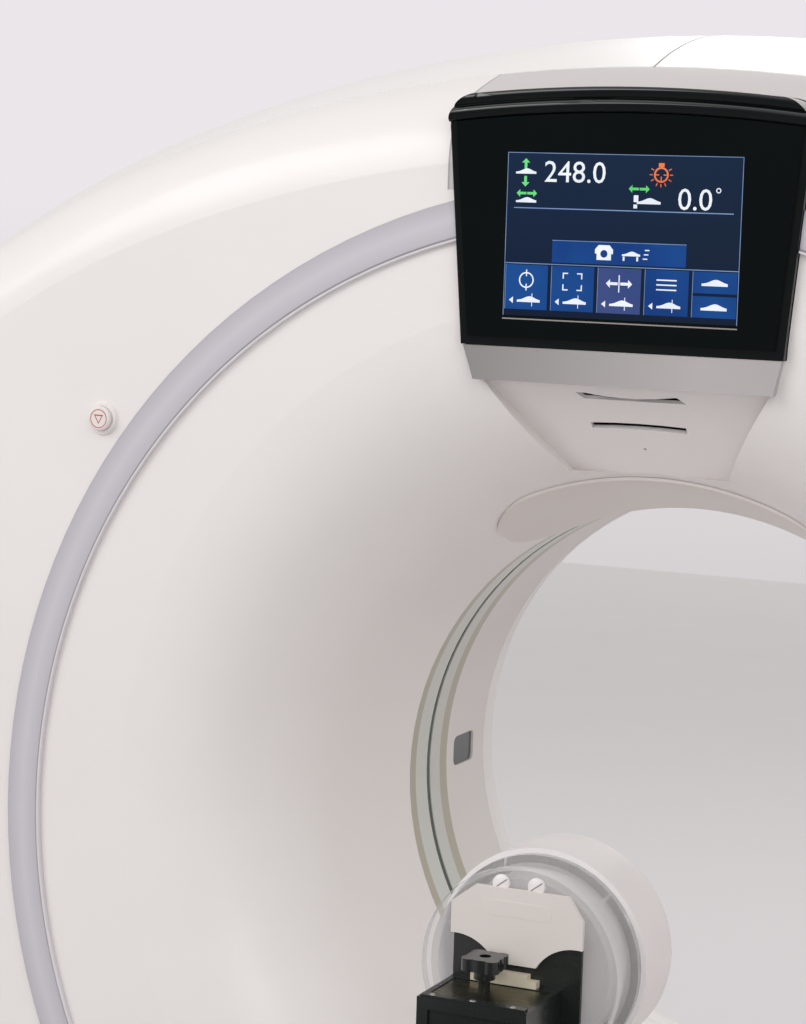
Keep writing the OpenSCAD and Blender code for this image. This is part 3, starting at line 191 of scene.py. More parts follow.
def make_machined():
    """Machined metal: noise drawn out by the stretch, as lathe rings along the bore's axis or as
    brush lines along one direction."""
    tree, given, result = new_group(
        "machined_surface",
        [("Colour", "c"), ("Shade", "c"), ("Stretch", "v"), ("Gloss low", "f"),
         ("Gloss high", "f")], SURFACE_OUTPUTS)
    scaled = add(tree, "ShaderNodeVectorMath", operation="MULTIPLY")
    lines = add(tree, "ShaderNodeTexNoise", Scale=1.0, Detail=4.0)
    drift = object_noise(tree, Scale=6.0, Detail=2.0)
    tree.links.new(object_place(tree), scaled.inputs[0])
    tree.links.new(given.outputs["Stretch"], scaled.inputs[1])
    tree.links.new(scaled.outputs[0], lines.inputs["Vector"])
    gloss = weighted(tree, lines.outputs["Fac"], drift.outputs["Fac"], 0.5)
    normal = bump_from(tree, lines.outputs["Fac"], 0.25, 0.0002)
    wire_surface(tree, given, result, lines.outputs["Fac"], gloss, (0.3, 0.7), normal)
    return tree


MOULDED_GROUP = make_moulded()
MACHINED_GROUP = make_machined()


# ---------------------------------------------------------------- kinds of material

def rgb(red, green, blue):
    """A colour as it shows on a screen, 0 to 255, as the linear colour that a socket takes."""
    return tuple(((c / 255) / 12.92 if c <= 10 else (((c / 255) + 0.055) / 1.055) ** 2.4)
                 for c in (red, green, blue)) + (1.0,)


def blank(name):
    """New material with a Principled shader; returns the material, its tree and the shader."""
    material = bpy.data.materials.new(name)
    material.use_nodes = True
    tree = material.node_tree
    return material, tree, tree.nodes["Principled BSDF"]


def grouped(name, group_tree, **values):
    """New material whose colour, roughness and normal come from a surface group; returns the
    material and its shader."""
    material, tree, shader = blank(name)
    group = add(tree, "ShaderNodeGroup", node_tree=group_tree)
    for label, value in values.items():
        group.inputs[label.replace("_", " ")].default_value = value
    for label, target in (("Colour", "Base Color"), ("Roughness", "Roughness"),
                          ("Normal", "Normal")):
        tree.links.new(group.outputs[label], shader.inputs[target])
    return material, shader


def inside_of(material):
    """Tree, Principled shader and surface group's colour of a moulded material."""
    tree = material.node_tree
    group = next(node for node in tree.nodes if node.type == "GROUP")
    return tree, tree.nodes["Principled BSDF"], group.outputs["Colour"]


def moulded(name, colour, shade, gloss=(0.3, 0.42), drift=2.5, grain=420.0, depth=0.00025,
            coat=0.0, specular=0.5):
    """Plastic, paint or lacquer made from the moulded group."""
    material, shader = grouped(
        name, MOULDED_GROUP, Colour=colour, Shade=shade, Drift_scale=drift, Grain_scale=grain,
        Grain_depth=depth, Gloss_low=gloss[0], Gloss_high=gloss[1])
    shader.inputs["Coat Weight"].default_value = coat
    shader.inputs["Coat Roughness"].default_value = 0.08
    shader.inputs["Specular IOR Level"].default_value = specular
    return material


def machined(name, colour, shade, stretch, gloss=(0.25, 0.4)):
    """Bare metal made from the machined group."""
    material, shader = grouped(name, MACHINED_GROUP, Colour=colour, Shade=shade, Stretch=stretch,
                               Gloss_low=gloss[0], Gloss_high=gloss[1])
    shader.inputs["Metallic"].default_value = 1.0
    return material


def banded(name, base, position, stops):
    """A moulded material whose colour follows bands along a position from 0 to 1, which a
    function of the tree gives."""
    material = moulded(name, base, base, gloss=(0.28, 0.36))
    tree, shader, colour = inside_of(material)
    ramp = add(tree, "ShaderNodeValToRGB")
    ramp.color_ramp.interpolation = "LINEAR"
    while len(ramp.color_ramp.elements) < len(stops):
        ramp.color_ramp.elements.new(0.5)
    for element, (place, tone) in zip(ramp.color_ramp.elements, stops):
        element.position = place
        element.color = tone
    tree.links.new(position(tree), ramp.inputs["Fac"])
    tree.links.new(mix_colour(tree, 0.12, ramp.outputs["Color"], colour),
                   shader.inputs["Base Color"])
    return material


def sharp_stops(bands):
    """Colour stops with narrow transitions, from (end position, colour) pairs."""
    stops, start, blur = [], 0.0, 0.002
    for end, colour in bands:
        stops += [(start + blur, colour), (end - blur, colour)]
        start = end
    return stops


def shine_above(material, low, high):
    """Painted highlight: lets the faces that look up shine more, so that the lamps show as streaks
    on them; the specular level and the coat rise with the upward part of the normal."""
    tree, shader, _ = inside_of(material)
    split = add(tree, "ShaderNodeSeparateXYZ")
    tree.links.new(add(tree, "ShaderNodeNewGeometry").outputs["True Normal"], split.inputs[0])
    for target, start in (("Specular IOR Level", low), ("Coat Weight", 0.0)):
        tree.links.new(spread(tree, split.outputs[2], 0.15, 0.6, start, high),
                       shader.inputs[target])


def strip_with_painted_shade(material):
    """Darker band over the console on the front cover, with a thin dark edge: 203 mm to each side
    up to 790 mm above the bore's axis, then narrower with height. Its tone is painted shade of the
    surface above the hood, laid out as a silver-grey strip."""
    tree, shader, colour = inside_of(material)
    x, _, z = object_xyz(tree)
    rise = math_node(tree, "MAXIMUM", math_node(tree, "SUBTRACT", z, ISO + 0.790))
    half = math_node(tree, "SUBTRACT", 0.203, math_node(tree, "MULTIPLY", rise, 0.8))
    inside = math_node(tree, "SUBTRACT", half, math_node(tree, "ABSOLUTE", x))
    above = spread(tree, z, ISO + 0.700, ISO + 0.701)
    strip = math_node(tree, "MULTIPLY", spread(tree, inside, 0.0, 0.001), above)
    near_edge = spread(tree, math_node(tree, "ABSOLUTE", inside), 0.0006, 0.0014, 0.7, 0.0)
    edge = math_node(tree, "MULTIPLY", near_edge, above)
    # painted shade: the darker tone of the band over the console
    tone = mix_colour(tree, strip, colour, rgb(205, 200, 199))
    tree.links.new(mix_colour(tree, edge, tone, rgb(120, 116, 114)), shader.inputs["Base Color"])


def lit(name, colour, deeper, strength, scale=40.0):
    """Lit marks of the display, with a small drift in tone."""
    material, tree, shader = blank(name)
    drift = object_noise(tree, Scale=scale, Detail=1.0).outputs["Fac"]
    tone = mix_colour(tree, spread(tree, drift, 0.35, 0.65), colour, deeper)
    tree.links.new(mix_colour(tree, 0.9, tone, rgb(6, 8, 10)), shader.inputs["Base Color"])
    tree.links.new(tone, shader.inputs["Emission Color"])
    tree.links.new(spread(tree, drift, 0.3, 0.7, 0.1, 0.15), shader.inputs["Roughness"])
    shader.inputs["Emission Strength"].default_value = strength
    shader.inputs["Specular IOR Level"].default_value = 0.1
    return material


def make_screen(name):
    """Lit display: navy that lightens towards the top, with cloudy blue glow and a faint sheen."""
    material, tree, shader = blank(name)
    upward = object_axis(tree, 2, ISO + 0.570, ISO + 0.742)
    side = object_axis(tree, 0, -0.13, 0.13)
    cloud = object_noise(tree, Scale=9.0, Detail=2.0).outputs["Fac"]
    navy = mix_colour(tree, upward, rgb(14, 24, 44), rgb(22, 40, 64))
    deep = mix_colour(tree, math_node(tree, "MULTIPLY", side, 0.35), navy, rgb(22, 34, 46))
    glow = mix_colour(tree, math_node(tree, "MULTIPLY", cloud, 0.25), deep, rgb(8, 34, 74))
    tree.links.new(mix_colour(tree, 0.8, glow, rgb(3, 5, 8)), shader.inputs["Base Color"])
    tree.links.new(glow, shader.inputs["Emission Color"])
    tree.links.new(spread(tree, cloud, 0.3, 0.7, 0.08, 0.13), shader.inputs["Roughness"])
    shader.inputs["Emission Strength"].default_value = 0.85
    shader.inputs["Specular IOR Level"].default_value = 0.1
    return material


def make_carbon(name):
    """Carbon shell: a 2/2 twill of square cells, 330 to the metre over X and Y, under a clear
    coat."""
    material, tree, shader = blank(name)
    x, y, _ = object_xyz(tree)
    column, row = (math_node(tree, "FLOOR", math_node(tree, "MULTIPLY", value, 330.0))
                   for value in (x, y))
    phase = math_node(tree, "FLOORED_MODULO", math_node(tree, "ADD", column, row), 4.0)
    over = math_node(tree, "LESS_THAN", phase, 2.0)
    fibre = object_noise(tree, Scale=900.0, Detail=2.0).outputs["Fac"]
    tone = mix_colour(tree, over, rgb(34, 36, 38), rgb(52, 54, 57))
    tree.links.new(mix_colour(tree, math_node(tree, "MULTIPLY", fibre, 0.3), tone,
                              rgb(24, 25, 27)), shader.inputs["Base Color"])
    tree.links.new(spread(tree, over, 0, 1, 0.28, 0.4), shader.inputs["Roughness"])
    tree.links.new(bump_from(tree, over, 0.2, 0.0002), shader.inputs["Normal"])
    shader.inputs["Coat Weight"].default_value = 0.7
    shader.inputs["Coat Roughness"].default_value = 0.07
    return material


def make_acrylic(name):
    """Clear cast acrylic: nearly see-through where it faces the eye, pale and less clear at its
    rims as painted highlight of its bright edges, with faint marks."""
    material, tree, shader = blank(name)
    marks = object_noise(tree, Scale=60.0, Detail=2.0).outputs["Fac"]
    tree.links.new(spread(tree, marks, 0.3, 0.7, 0.05, 0.12), shader.inputs["Roughness"])
    tree.links.new(mix_colour(tree, marks, rgb(236, 234, 235), rgb(228, 227, 229)),
                   shader.inputs["Base Color"])
    # painted highlight: the rims grow pale and opaque as they turn from the eye
    facing = add(tree, "ShaderNodeLayerWeight", Blend=0.4).outputs["Facing"]
    tree.links.new(spread(tree, facing, 0.05, 0.95, 0.14, 0.72), shader.inputs["Alpha"])
    return material


def make_vinyl(name):
    """Dark couch vinyl: pebbled leather grain from small cells, with a soft sheen."""
    material, tree, shader = blank(name)
    cells = add(tree, "ShaderNodeTexVoronoi", Scale=620.0)
    tree.links.new(object_place(tree), cells.inputs["Vector"])
    drift = object_noise(tree, Scale=7.0, Detail=3.0).outputs["Fac"]
    tree.links.new(mix_colour(tree, spread(tree, drift, 0.35, 0.65), rgb(64, 72, 80),
                              rgb(56, 63, 71)), shader.inputs["Base Color"])
    tree.links.new(spread(tree, drift, 0.3, 0.7, 0.42, 0.55), shader.inputs["Roughness"])
    tree.links.new(bump_from(tree, cells.outputs["Distance"], 0.4, 0.0004),
                   shader.inputs["Normal"])
    shader.inputs["Sheen Weight"].default_value = 0.15
    return material


# ---------------------------------------------------------------- finishes

# name: colour, shade, and what differs from the plain moulded surface
MOULDED_FINISHES = {
    "cover_white": ((238, 234, 232), (234, 229, 227), dict(coat=0.15)),
    "front_white": ((238, 234, 232), (234, 229, 227), dict(coat=0.15)),
    "crown_white": ((243, 240, 239), (239, 236, 234), dict(coat=0.15)),
    "stand_white": ((232, 229, 227), (227, 224, 221), dict(coat=0.1)),
    "lozenge_white": ((226, 220, 215), (222, 215, 210), dict(coat=0.1)),
    "couch_white": ((228, 225, 222), (222, 219, 216), dict(coat=0.1)),
    "stop_white": ((236, 230, 227), (230, 224, 221), dict(gloss=(0.35, 0.45))),
    "liner_satin": ((226, 221, 219), (221, 216, 213), dict(gloss=(0.35, 0.45))),
    "lamp_glow": ((236, 238, 236), (226, 229, 226), dict(gloss=(0.2, 0.3))),
    "console_black": ((9, 16, 16), (6, 12, 12), dict(gloss=(0.05, 0.09), drift=5, depth=0.00003)),
    "touch_glass": ((6, 13, 13), (4, 9, 9),
                    dict(gloss=(0.03, 0.06), depth=0.00001, specular=0.08)),
    "slot_dark": ((24, 30, 27), (18, 24, 21), dict(gloss=(0.5, 0.6))),
    "film_dark": ((84, 93, 88), (76, 85, 80), dict(gloss=(0.15, 0.22))),
    "laser_smoke": ((66, 70, 72), (52, 56, 58), dict(gloss=(0.06, 0.12), coat=0.5)),
    "frame_paint": ((118, 124, 132), (108, 114, 122), dict(gloss=(0.4, 0.55), drift=4)),
    "plate_paint": ((104, 109, 115), (94, 99, 105), dict(gloss=(0.45, 0.6), drift=5)),
    "motor_paint": ((78, 88, 98), (70, 80, 90), dict(gloss=(0.35, 0.5), drift=9)),
    "duct_paint": ((182, 180, 177), (170, 168, 165), dict(gloss=(0.45, 0.6), drift=5)),
    "tube_lead": ((196, 192, 180), (186, 181, 168), dict(gloss=(0.35, 0.5), drift=12)),
    "tank_enamel": ((186, 180, 168), (176, 170, 158), dict(gloss=(0.3, 0.45), drift=8)),
    "belt_rubber": ((42, 42, 43), (34, 34, 35), dict(gloss=(0.6, 0.75), grain=900)),
    "rail_dark": ((62, 64, 67), (54, 56, 58), dict(gloss=(0.45, 0.55))),
    "holder_anodised": ((30, 34, 32), (24, 28, 26), dict(gloss=(0.22, 0.34), drift=14, grain=900,
                                                         depth=0.0001, coat=0.2)),
    "plate_cream": ((228, 221, 217), (222, 215, 210), dict(gloss=(0.35, 0.5), drift=9)),
    "phantom_cast": ((238, 233, 233), (232, 227, 226), dict(drift=6)),
    "knob_moulded": ((22, 24, 24), (17, 18, 18), dict(gloss=(0.18, 0.3), drift=20, grain=1400,
                                                      coat=0.3)),
    "mark_red": ((196, 96, 80), (186, 84, 70), dict(gloss=(0.4, 0.5))),
    "mark_grey": ((150, 143, 139), (140, 133, 129), dict(gloss=(0.4, 0.5))),
    "cream_scale": ((236, 226, 206), (226, 215, 193), dict(gloss=(0.4, 0.5))),
}
# name: colour, shade, how the noise is drawn out along X, Y and Z, and the roughness
MACHINED_FINISHES = {
    "bearing_ground": ((186, 189, 192), (160, 164, 168), (40, 900, 40), (0.25, 0.4)),
    "drum_turned": ((176, 180, 184), (150, 155, 160), (30, 600, 30), (0.25, 0.4)),
    "ring_copper": ((206, 164, 110), (176, 132, 84), (60, 400, 60), (0.25, 0.4)),
    "box_anodised": ((110, 116, 124), (92, 98, 106), (500, 14, 14), (0.4, 0.55)),
    "tube_chrome": ((214, 216, 219), (190, 193, 197), (60, 60, 900), (0.08, 0.18)),
    "steel_bright": ((205, 205, 202), (180, 180, 176), (600, 20, 20), (0.2, 0.35)),
    "olive_metal": ((122, 118, 92), (74, 74, 56), (18, 40, 40), (0.2, 0.36)),
}
# name: colour, deeper colour, brightness, and the drift's scale where it is a broad one
LIT_FINISHES = {
    "lit_white": ((240, 244, 250), (228, 234, 244), 0.95),
    "lit_green": ((120, 236, 140), (96, 220, 118), 0.8),
    "lit_orange": ((246, 132, 84), (236, 112, 66), 0.85),
    "lit_line": ((150, 180, 226), (128, 160, 212), 0.7),
    "lit_blue": ((26, 84, 160), (20, 66, 140), 0.7, 14.0),
    "lit_violet": ((76, 92, 150), (64, 84, 148), 0.65, 14.0),
}
TAN, PALE, DARK_LINE, LIGHT = (rgb(176, 168, 150), rgb(208, 209, 203), rgb(88, 97, 91),
                               rgb(204, 204, 199))

finish = {
    # across the arc trim from inner to outer edge: a pale lip that is painted highlight, a thin
    # dark joint line, then grey painted lighter in the middle and darker towards the outer edge as
    # painted shade of its rounded face
    "arc_grey": banded(
        "arc_grey", rgb(196, 191, 199), lambda tree: radius_about(tree, 0.97, 0.702, 0.745),
        [(0.0, rgb(225, 221, 224)), (0.05, rgb(222, 218, 221)), (0.075, rgb(120, 116, 122)),
         (0.1, rgb(132, 128, 134)), (0.13, rgb(190, 185, 193)), (0.55, rgb(204, 199, 207)),
         (0.97, rgb(186, 181, 189)), (1.0, rgb(172, 168, 175))]),
    # darker towards its left end: painted shade on the band under the console
    "band_silver": banded(
        "band_silver", rgb(176, 172, 172), lambda tree: object_axis(tree, 0, -0.179, 0.179),
        [(0.0, rgb(140, 137, 135)), (0.45, rgb(172, 168, 167)), (0.75, rgb(188, 183, 183)),
         (1.0, rgb(184, 179, 179))]),
    "window_bands": banded(
        "window_bands", PALE, lambda tree: object_axis(tree, 1, -0.055, 0.055),
        sharp_stops([(0.155, TAN), (0.455, PALE), (0.545, DARK_LINE), (0.81, LIGHT), (1.0, TAN)])),
    "carbon_twill": make_carbon("carbon_twill"),
    "screen_navy": make_screen("screen_navy"),
    "acrylic_clear": make_acrylic("acrylic_clear"),
    "pad_vinyl": make_vinyl("pad_vinyl"),
}
for label, (colour, shade, more) in MOULDED_FINISHES.items():
    finish[label] = moulded(label, rgb(*colour), rgb(*shade), **more)
for label, (colour, shade, stretch, gloss) in MACHINED_FINISHES.items():
    finish[label] = machined(label, rgb(*colour), rgb(*shade), stretch, gloss)
for label, (colour, deeper, *more) in LIT_FINISHES.items():
    finish[label] = lit(label, rgb(*colour), rgb(*deeper), *more)
# painted highlight on the up-facing ridges of the console's hood
shine_above(finish["console_black"], 0.16, 1.0)
# painted shade over the console, on the front cover
strip_with_painted_shade(finish["front_white"])

NODE_FINISH = {
    "front_white": ["front_cover"],
    "cover_white": ["rear_cover", "estop_collars"],
    "crown_white": ["top_cover_left", "top_cover_right"],
    "stand_white": ["stand_cover_left", "stand_cover_right"],
    "lozenge_white": ["lozenge_cover"],
    "arc_grey": ["arc_trims"],
    "console_black": ["console_housing"],
    "touch_glass": ["console_glass"],
    "screen_navy": ["screen_panel"],
    "band_silver": ["console_band"],
    "slot_dark": ["slot_insert"],
    "lamp_glow": ["breathing_lights"],
    "window_bands": ["window_rings"],
    "film_dark": ["window_film"],
    "liner_satin": ["rear_liner"],
    "laser_smoke": ["laser_windows"],
    "stop_white": ["estop_front_left", "estop_front_right", "estop_rear_left",
                   "estop_rear_right"],
    "frame_paint": ["stator_frame", "stand_left", "stand_right", "counterweights"],
    "plate_paint": ["base_plates"],
    "motor_paint": ["tilt_gearmotor", "drive_motor"],
    "bearing_ground": ["bearing_outer_race", "bearing_inner_race", "bearing_balls",
                       "trunnion_bearings", "drive_pulley"],
    "drum_turned": ["rotor_drum", "detector_arc"],
    "tube_lead": ["xray_tube"],
    "tank_enamel": ["hv_tank"],
    "ring_copper": ["slip_ring"],
    "box_anodised": ["data_boxes", "collimator", "heat_exchanger", "brush_block"],
    "belt_rubber": ["drive_belt"],
    "couch_white": ["table_base", "lift_shroud_mid", "table_frame"],
    "duct_paint": ["floor_duct"],
    "tube_chrome": ["lift_tube_low", "lift_tube_mid"],
    "rail_dark": ["glide_rails"],
    "carbon_twill": ["cradle"],
    "pad_vinyl": ["cradle_pad"],
    "holder_anodised": ["holder_box", "holder_plate"],
    "plate_cream": ["phantom_plate"],
    "acrylic_clear": ["phantom_flange"],
    "phantom_cast": ["phantom_body"],
    "knob_moulded": ["holder_knob"],
}
for label, members in NODE_FINISH.items():
    for member in members:
        materials = nodes[member].data.materials
        materials.clear()
        materials.append(finish[label])


# ---------------------------------------------------------------- mesh helpers

def new_object(name, data):
    """New object at the origin, linked to the scene."""
    thing = bpy.data.objects.new(name, data)
    bpy.context.scene.collection.objects.link(thing)
    return thing


def evaluated_mesh(thing):
    """Mesh of an object with its modifiers applied."""
    return bpy.data.meshes.new_from_object(
        thing.evaluated_get(bpy.context.evaluated_depsgraph_get()))


def seated(name, mesh, material, body):
    """Object of a mesh with one material, riding a body."""
    mesh.materials.clear()
    mesh.materials.append(finish[material])
    thing = new_object(name, mesh)
    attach(thing, body)
    return outward(thing)


def outward(thing):
    """Merges doubles and turns the faces of a closed mesh outwards."""
    work = bmesh.new()
    work.from_mesh(thing.data)
    bmesh.ops.remove_doubles(work, verts=work.verts, dist=1e-7)
    bmesh.ops.recalc_face_normals(work, faces=work.faces)
    work.to_mesh(thing.data)
    work.free()
    return thing


def piece(name, vertices, faces, material, body, smooth):
    """Closed mesh object in the row frame from points and faces."""
    mesh = bpy.data.meshes.new(name)
    mesh.from_pydata(vertices.tolist(), [], [list(face) for face in faces])
    mesh.validate()
    mesh.polygons.foreach_set("use_smooth", np.full(len(mesh.polygons), smooth))
    return seated(name, mesh, material, body)


def prisms(name, outlines, y_front, y_back, material, body="gantry"):
    """Flat outlines of (x, z) carried straight along Y: each gives a front cap, a back cap and
    its sides."""
    rings, faces, start = [], [], 0
    for outline in outlines:
        outline = np.asarray(outline, float)
        count = len(outline)
        rings += [np.insert(outline, 1, y, axis=1) for y in (y_front, y_back)]
        here = start + np.arange(count)
        after = start + (np.arange(count) + 1) % count
        faces += [here.tolist(), (here[::-1] + count).tolist()]
        faces += np.stack([here, after, after + count, here + count], -1).tolist()
        start += 2 * count
    return piece(name, np.concatenate(rings), faces, material, body, smooth=False)


def turned_piece(name, profile, place, axis, material, body, count=48):
    """Surface of revolution: point = (r cos a, r sin a, h) for each (r, h) of the profile, which
    starts and ends on the axis, then stood along an axis at a place."""
    profile = np.asarray(profile, float)
    angle = np.linspace(0, 2 * np.pi, count, endpoint=False)
    points = np.stack([profile[:, 0, None] * np.cos(angle), profile[:, 0, None] * np.sin(angle),
                       np.repeat(profile[:, 1, None], count, 1)], -1).reshape(-1, 3)
    row, i = np.meshgrid(np.arange(len(profile) - 1), np.arange(count), indexing="ij")
    j = (i + 1) % count
    faces = np.stack([row * count + i, row * count + j, (row + 1) * count + j,
                      (row + 1) * count + i], -1).reshape(-1, 4).tolist()
    turn = np.array(Vector((0, 0, 1)).rotation_difference(Vector(axis)).to_matrix())
    return piece(name, points @ turn.T + np.array(place), faces, material, body,
                 smooth=True)


# ---------------------------------------------------------------- outlines of (x, z)

def box2(x0, z0, x1, z1):
    """Rectangle between two corners, given in any order."""
    (x0, x1), (z0, z1) = sorted((x0, x1)), sorted((z0, z1))
    return [(x0, z0), (x1, z0), (x1, z1), (x0, z1)]


def bar2(cx, cz, half_length, half_width, angle):
    """Bar about (cx, cz), turned by an angle in degrees from +X."""
    along = np.array([math.cos(math.radians(angle)), math.sin(math.radians(angle))])
    across = np.array([-along[1], along[0]]) * half_width
    along, middle = along * half_length, np.array([cx, cz])
    return [middle - along - across, middle + along - across, middle + along + across,
            middle - along + across]


def arc2(cx, cz, radius, start, end, count):
    """Points on a circle about (cx, cz) from one angle in degrees to another."""
    a = np.radians(np.linspace(start, end, count))
    return np.stack([cx + radius * np.cos(a), cz + radius * np.sin(a)], -1)


def ring2(cx, cz, inner, outer, count=48):
    """Full ring as two half rings, each one outline."""
    return [np.concatenate([arc2(cx, cz, outer, start, start + 180, count),
                            arc2(cx, cz, inner, start + 180, start, count)]) for start in (0, 180)]


def arrow2(cx, cz, length, width, angle):
    """Arrow with its tip at half its length from (cx, cz), turned by an angle from +X."""
    h, w, s = length / 2, width / 2, width / 6
    shape = np.array([(h, 0), (h - w, w), (h - w, s), (-h, s), (-h, -s), (h - w, -s), (h - w, -w)])
    c, n = math.cos(math.radians(angle)), math.sin(math.radians(angle))
    return shape @ np.array([[c, n], [-n, c]]) + [cx, cz]


def couch2(cx, cz, width):
    """Small couch: a long flat bar whose top swells near its middle as a bell curve."""
    x = np.linspace(-width / 2, width / 2, 24)
    top = 0.16 * width * np.exp(-((x / width - 0.05) / 0.3) ** 2) + 0.03 * width
    low = np.full_like(x, -0.05 * width)
    return np.concatenate([np.stack([cx + x, cz + low], -1),
                           np.stack([cx + x[::-1], cz + top[::-1]], -1)])


def cut_corners(x0, z0, x1, z1, cut):
    """Rectangle with its four corners cut off at 45 degrees."""
    return [(x0 + cut, z0), (x1 - cut, z0), (x1, z0 + cut), (x1, z1 - cut), (x1 - cut, z1),
            (x0 + cut, z1), (x0, z1 - cut), (x0, z0 + cut)]


# ---------------------------------------------------------------- the console's picture

def digits(name, text, x, z, y, size=0.0315, thick=0.00006):
    """Plain numbers as a thin mesh: the font's outline laid in the plane of the screen."""
    curve = bpy.data.curves.new(name, "FONT")
    curve.body, curve.size, curve.extrude, curve.resolution_u = text, size, thick, 3
    holder = new_object(name + "_text", curve)
    mesh = evaluated_mesh(holder)
    bpy.data.objects.remove(holder)
    mesh.transform(Matrix.Translation((x, y, z)) @ Matrix.Rotation(math.radians(90), 4, "X"))
    mesh.name = name
    return seated(name, mesh, "lit_white", "gantry")


def millimetres(outlines):
    """Outlines in millimetres from the bore's axis, as metres in the row frame."""
    return [np.asarray(outline, float) * 0.001 + [0, ISO] for outline in outlines]


def build_screen():
    """Tiles, lines, icons and readings on the display, each layer a little proud of the one
    below. Outlines are in millimetres from the bore's axis."""
    first, second, third = (SCREEN_FACE - 0.0001 * layer for layer in (1, 2, 3))
    tile_x, low, high = [-129, -77, -25, 27, 79], 577, 624      # left ends, bottom and top
    chosen, split = tile_x[2], tile_x[4]
    left, right, floor_line, roof_line, line = -129.6, 129.6, 570.3, 741.6, 0.6

    tiles = [box2(x + 1, low, x + 49, high) for x in tile_x if x not in (chosen, split)]
    tiles += [box2(split + 1, 602, split + 49, high), box2(split + 1, low, split + 49, 599),
              box2(-76, 627.5, 72, 651)]
    prisms("screen_tiles", millimetres(tiles), first, SCREEN_FACE, "lit_blue")
    prisms("screen_tile_chosen", millimetres([box2(chosen + 1, low, chosen + 49, high)]), first,
           SCREEN_FACE, "lit_violet")

    lines = [box2(-121, 683.2, 121, 684.2), box2(-129, 625.1, 129, 625.9),
             box2(-76, 650.4, 72, 651.0), box2(left, floor_line, left + line, roof_line),
             box2(left, roof_line - line, right, roof_line),
             box2(right - line, floor_line, right, roof_line)]
    lines += [box2(x + 1, low, x + 1.5, high) for x in tile_x]
    prisms("screen_lines", millimetres(lines), second, first, "lit_line")

    green = [arrow2(-109, 730, 11, 9, 90), arrow2(-109, 711.5, 11, 9, 270),
             arrow2(-113, 699, 11, 8, 180), arrow2(-101, 699, 11, 8, 0),
             arrow2(12, 706.5, 11, 8, 180), arrow2(24, 706.5, 11, 8, 0)]
    prisms("screen_green", millimetres(green), second, SCREEN_FACE, "lit_green")

    white = [couch2(-108.5, 720.5, 23), couch2(-107.5, 690.5, 23), couch2(29, 692.5, 26),
             box2(12.5, 686.5, 16.5, 690.5), box2(12.5, 693, 17.5, 700)]
    # gantry symbol: a rounded block with a round hole, as a lower and an upper half
    white += [np.concatenate([arc2(-18, 638.5, 4, -180, 0, 21),
                              [(-10, 638.5), (-10, 632), (-26, 632), (-26, 638.5)]]),
              np.concatenate([arc2(-18, 638.5, 4, 0, 180, 21),
                              [(-28, 638.5), (-28, 643), (-24, 647.5), (-12, 647.5), (-8, 643),
                               (-8, 638.5)]])]
    # table symbol beside it, with its two feet and three lines
    white += [couch2(12, 638, 20), box2(3, 632, 5, 636.5), box2(18, 632, 20, 636.5)]
    white += [box2(25 + i, 634 + 4.5 * i, 30 + i, 635.2 + 4.5 * i) for i in range(3)]
    # each of the first four tiles: a couch, a mark across it and a small arrow head
    for x in tile_x[:4]:
        middle = x + 25
        white += [couch2(middle + 3, 586, 26), box2(middle + 6.6, 580.5, middle + 7.4, 594),
                  [(middle - 19, 586.5), (middle - 14.5, 590), (middle - 14.5, 583)]]
    # upper symbols: ring with ticks, four frame corners, arrows to a line, three bars, couches
    white += ring2(-104, 608, 7, 8.4) + [box2(-104.6, 597, -103.4, 604),
                                         box2(-104.6, 612, -103.4, 619)]
    for s, t in ((-1, -1), (-1, 1), (1, -1), (1, 1)):
        white += [box2(-52 + s * 11, 608 + t * 8, -52 + s * 5, 608 + t * 9.3),
                  box2(-52 + s * 11, 608 + t * 3, -52 + s * 9.7, 608 + t * 9.3)]
    white += [arrow2(-8, 608, 13, 9, 180), arrow2(8, 608, 13, 9, 0), box2(-0.6, 599, 0.6, 617)]
    white += [box2(41, 603 + 5 * i, 63, 604.4 + 5 * i) for i in range(3)]
    white += [couch2(104, 611, 28), couch2(104, 586, 28)]
    prisms("screen_white", millimetres(white), third, second, "lit_white")

    # lamp symbol: bulb ring, base, cross and rays
    x, z = 41.5, 721.5
    lamp = ring2(x, z, 6.2, 8) + [box2(38.4, 729.6, 44.6, 733.6), box2(41, 715.3, 42, 719.8),
                                  box2(35.4, 721, 39, 722), box2(44, 721, 47.6, 722)]
    for angle in (-150, -115, -90, -65, -30, 0, 30, 150, 180):
        c, s = math.cos(math.radians(angle)), math.sin(math.radians(angle))
        lamp.append(bar2(x + 11 * c, z + 11 * s, 1.6, 0.5, angle))
    prisms("screen_lamp", millimetres(lamp), second, SCREEN_FACE, "lit_orange")

    prisms("screen_bezel_line", millimetres([box2(-130, 566, 130, 567.4)]), GLASS_FACE - 0.0001,
           GLASS_FACE, "mark_grey")
    digits("reading_height", "248.0", -0.0885, ISO + 0.7115, second)
    digits("reading_angle", "0.0", 0.0600, ISO + 0.6865, second)
    prisms("reading_degree", millimetres(ring2(104, 707, 1.7, 2.7)), second, SCREEN_FACE,
           "lit_white")


# ---------------------------------------------------------------- stop button marks

def stop_marks():
    """Thin ring and inverted triangle on the face of each stop button."""
    across, height, thick = 0.626, ISO + 0.429, 0.00015
    outer = np.array([(0, -0.0062), (0.0062, 0.0046), (-0.0062, 0.0046)])
    inner = outer * 0.68
    for side, name_x in ((-1, "left"), (1, "right")):
        centre = [side * across, height]
        marks = ring2(*centre, 0.0098, 0.0108)
        for i, j in ((0, 1), (1, 2), (2, 0)):
            marks.append(np.array([outer[i], outer[j], inner[j], inner[i]]) + centre)
        for front, name_y in ((1, "front"), (-1, "rear")):
            y = -front * STOP_FACE
            prisms(f"stop_marks_{name_y}_{name_x}", marks, y - front * thick, y, "mark_red",
                   f"stop_{name_y}_{name_x}")


# ---------------------------------------------------------------- phantom details

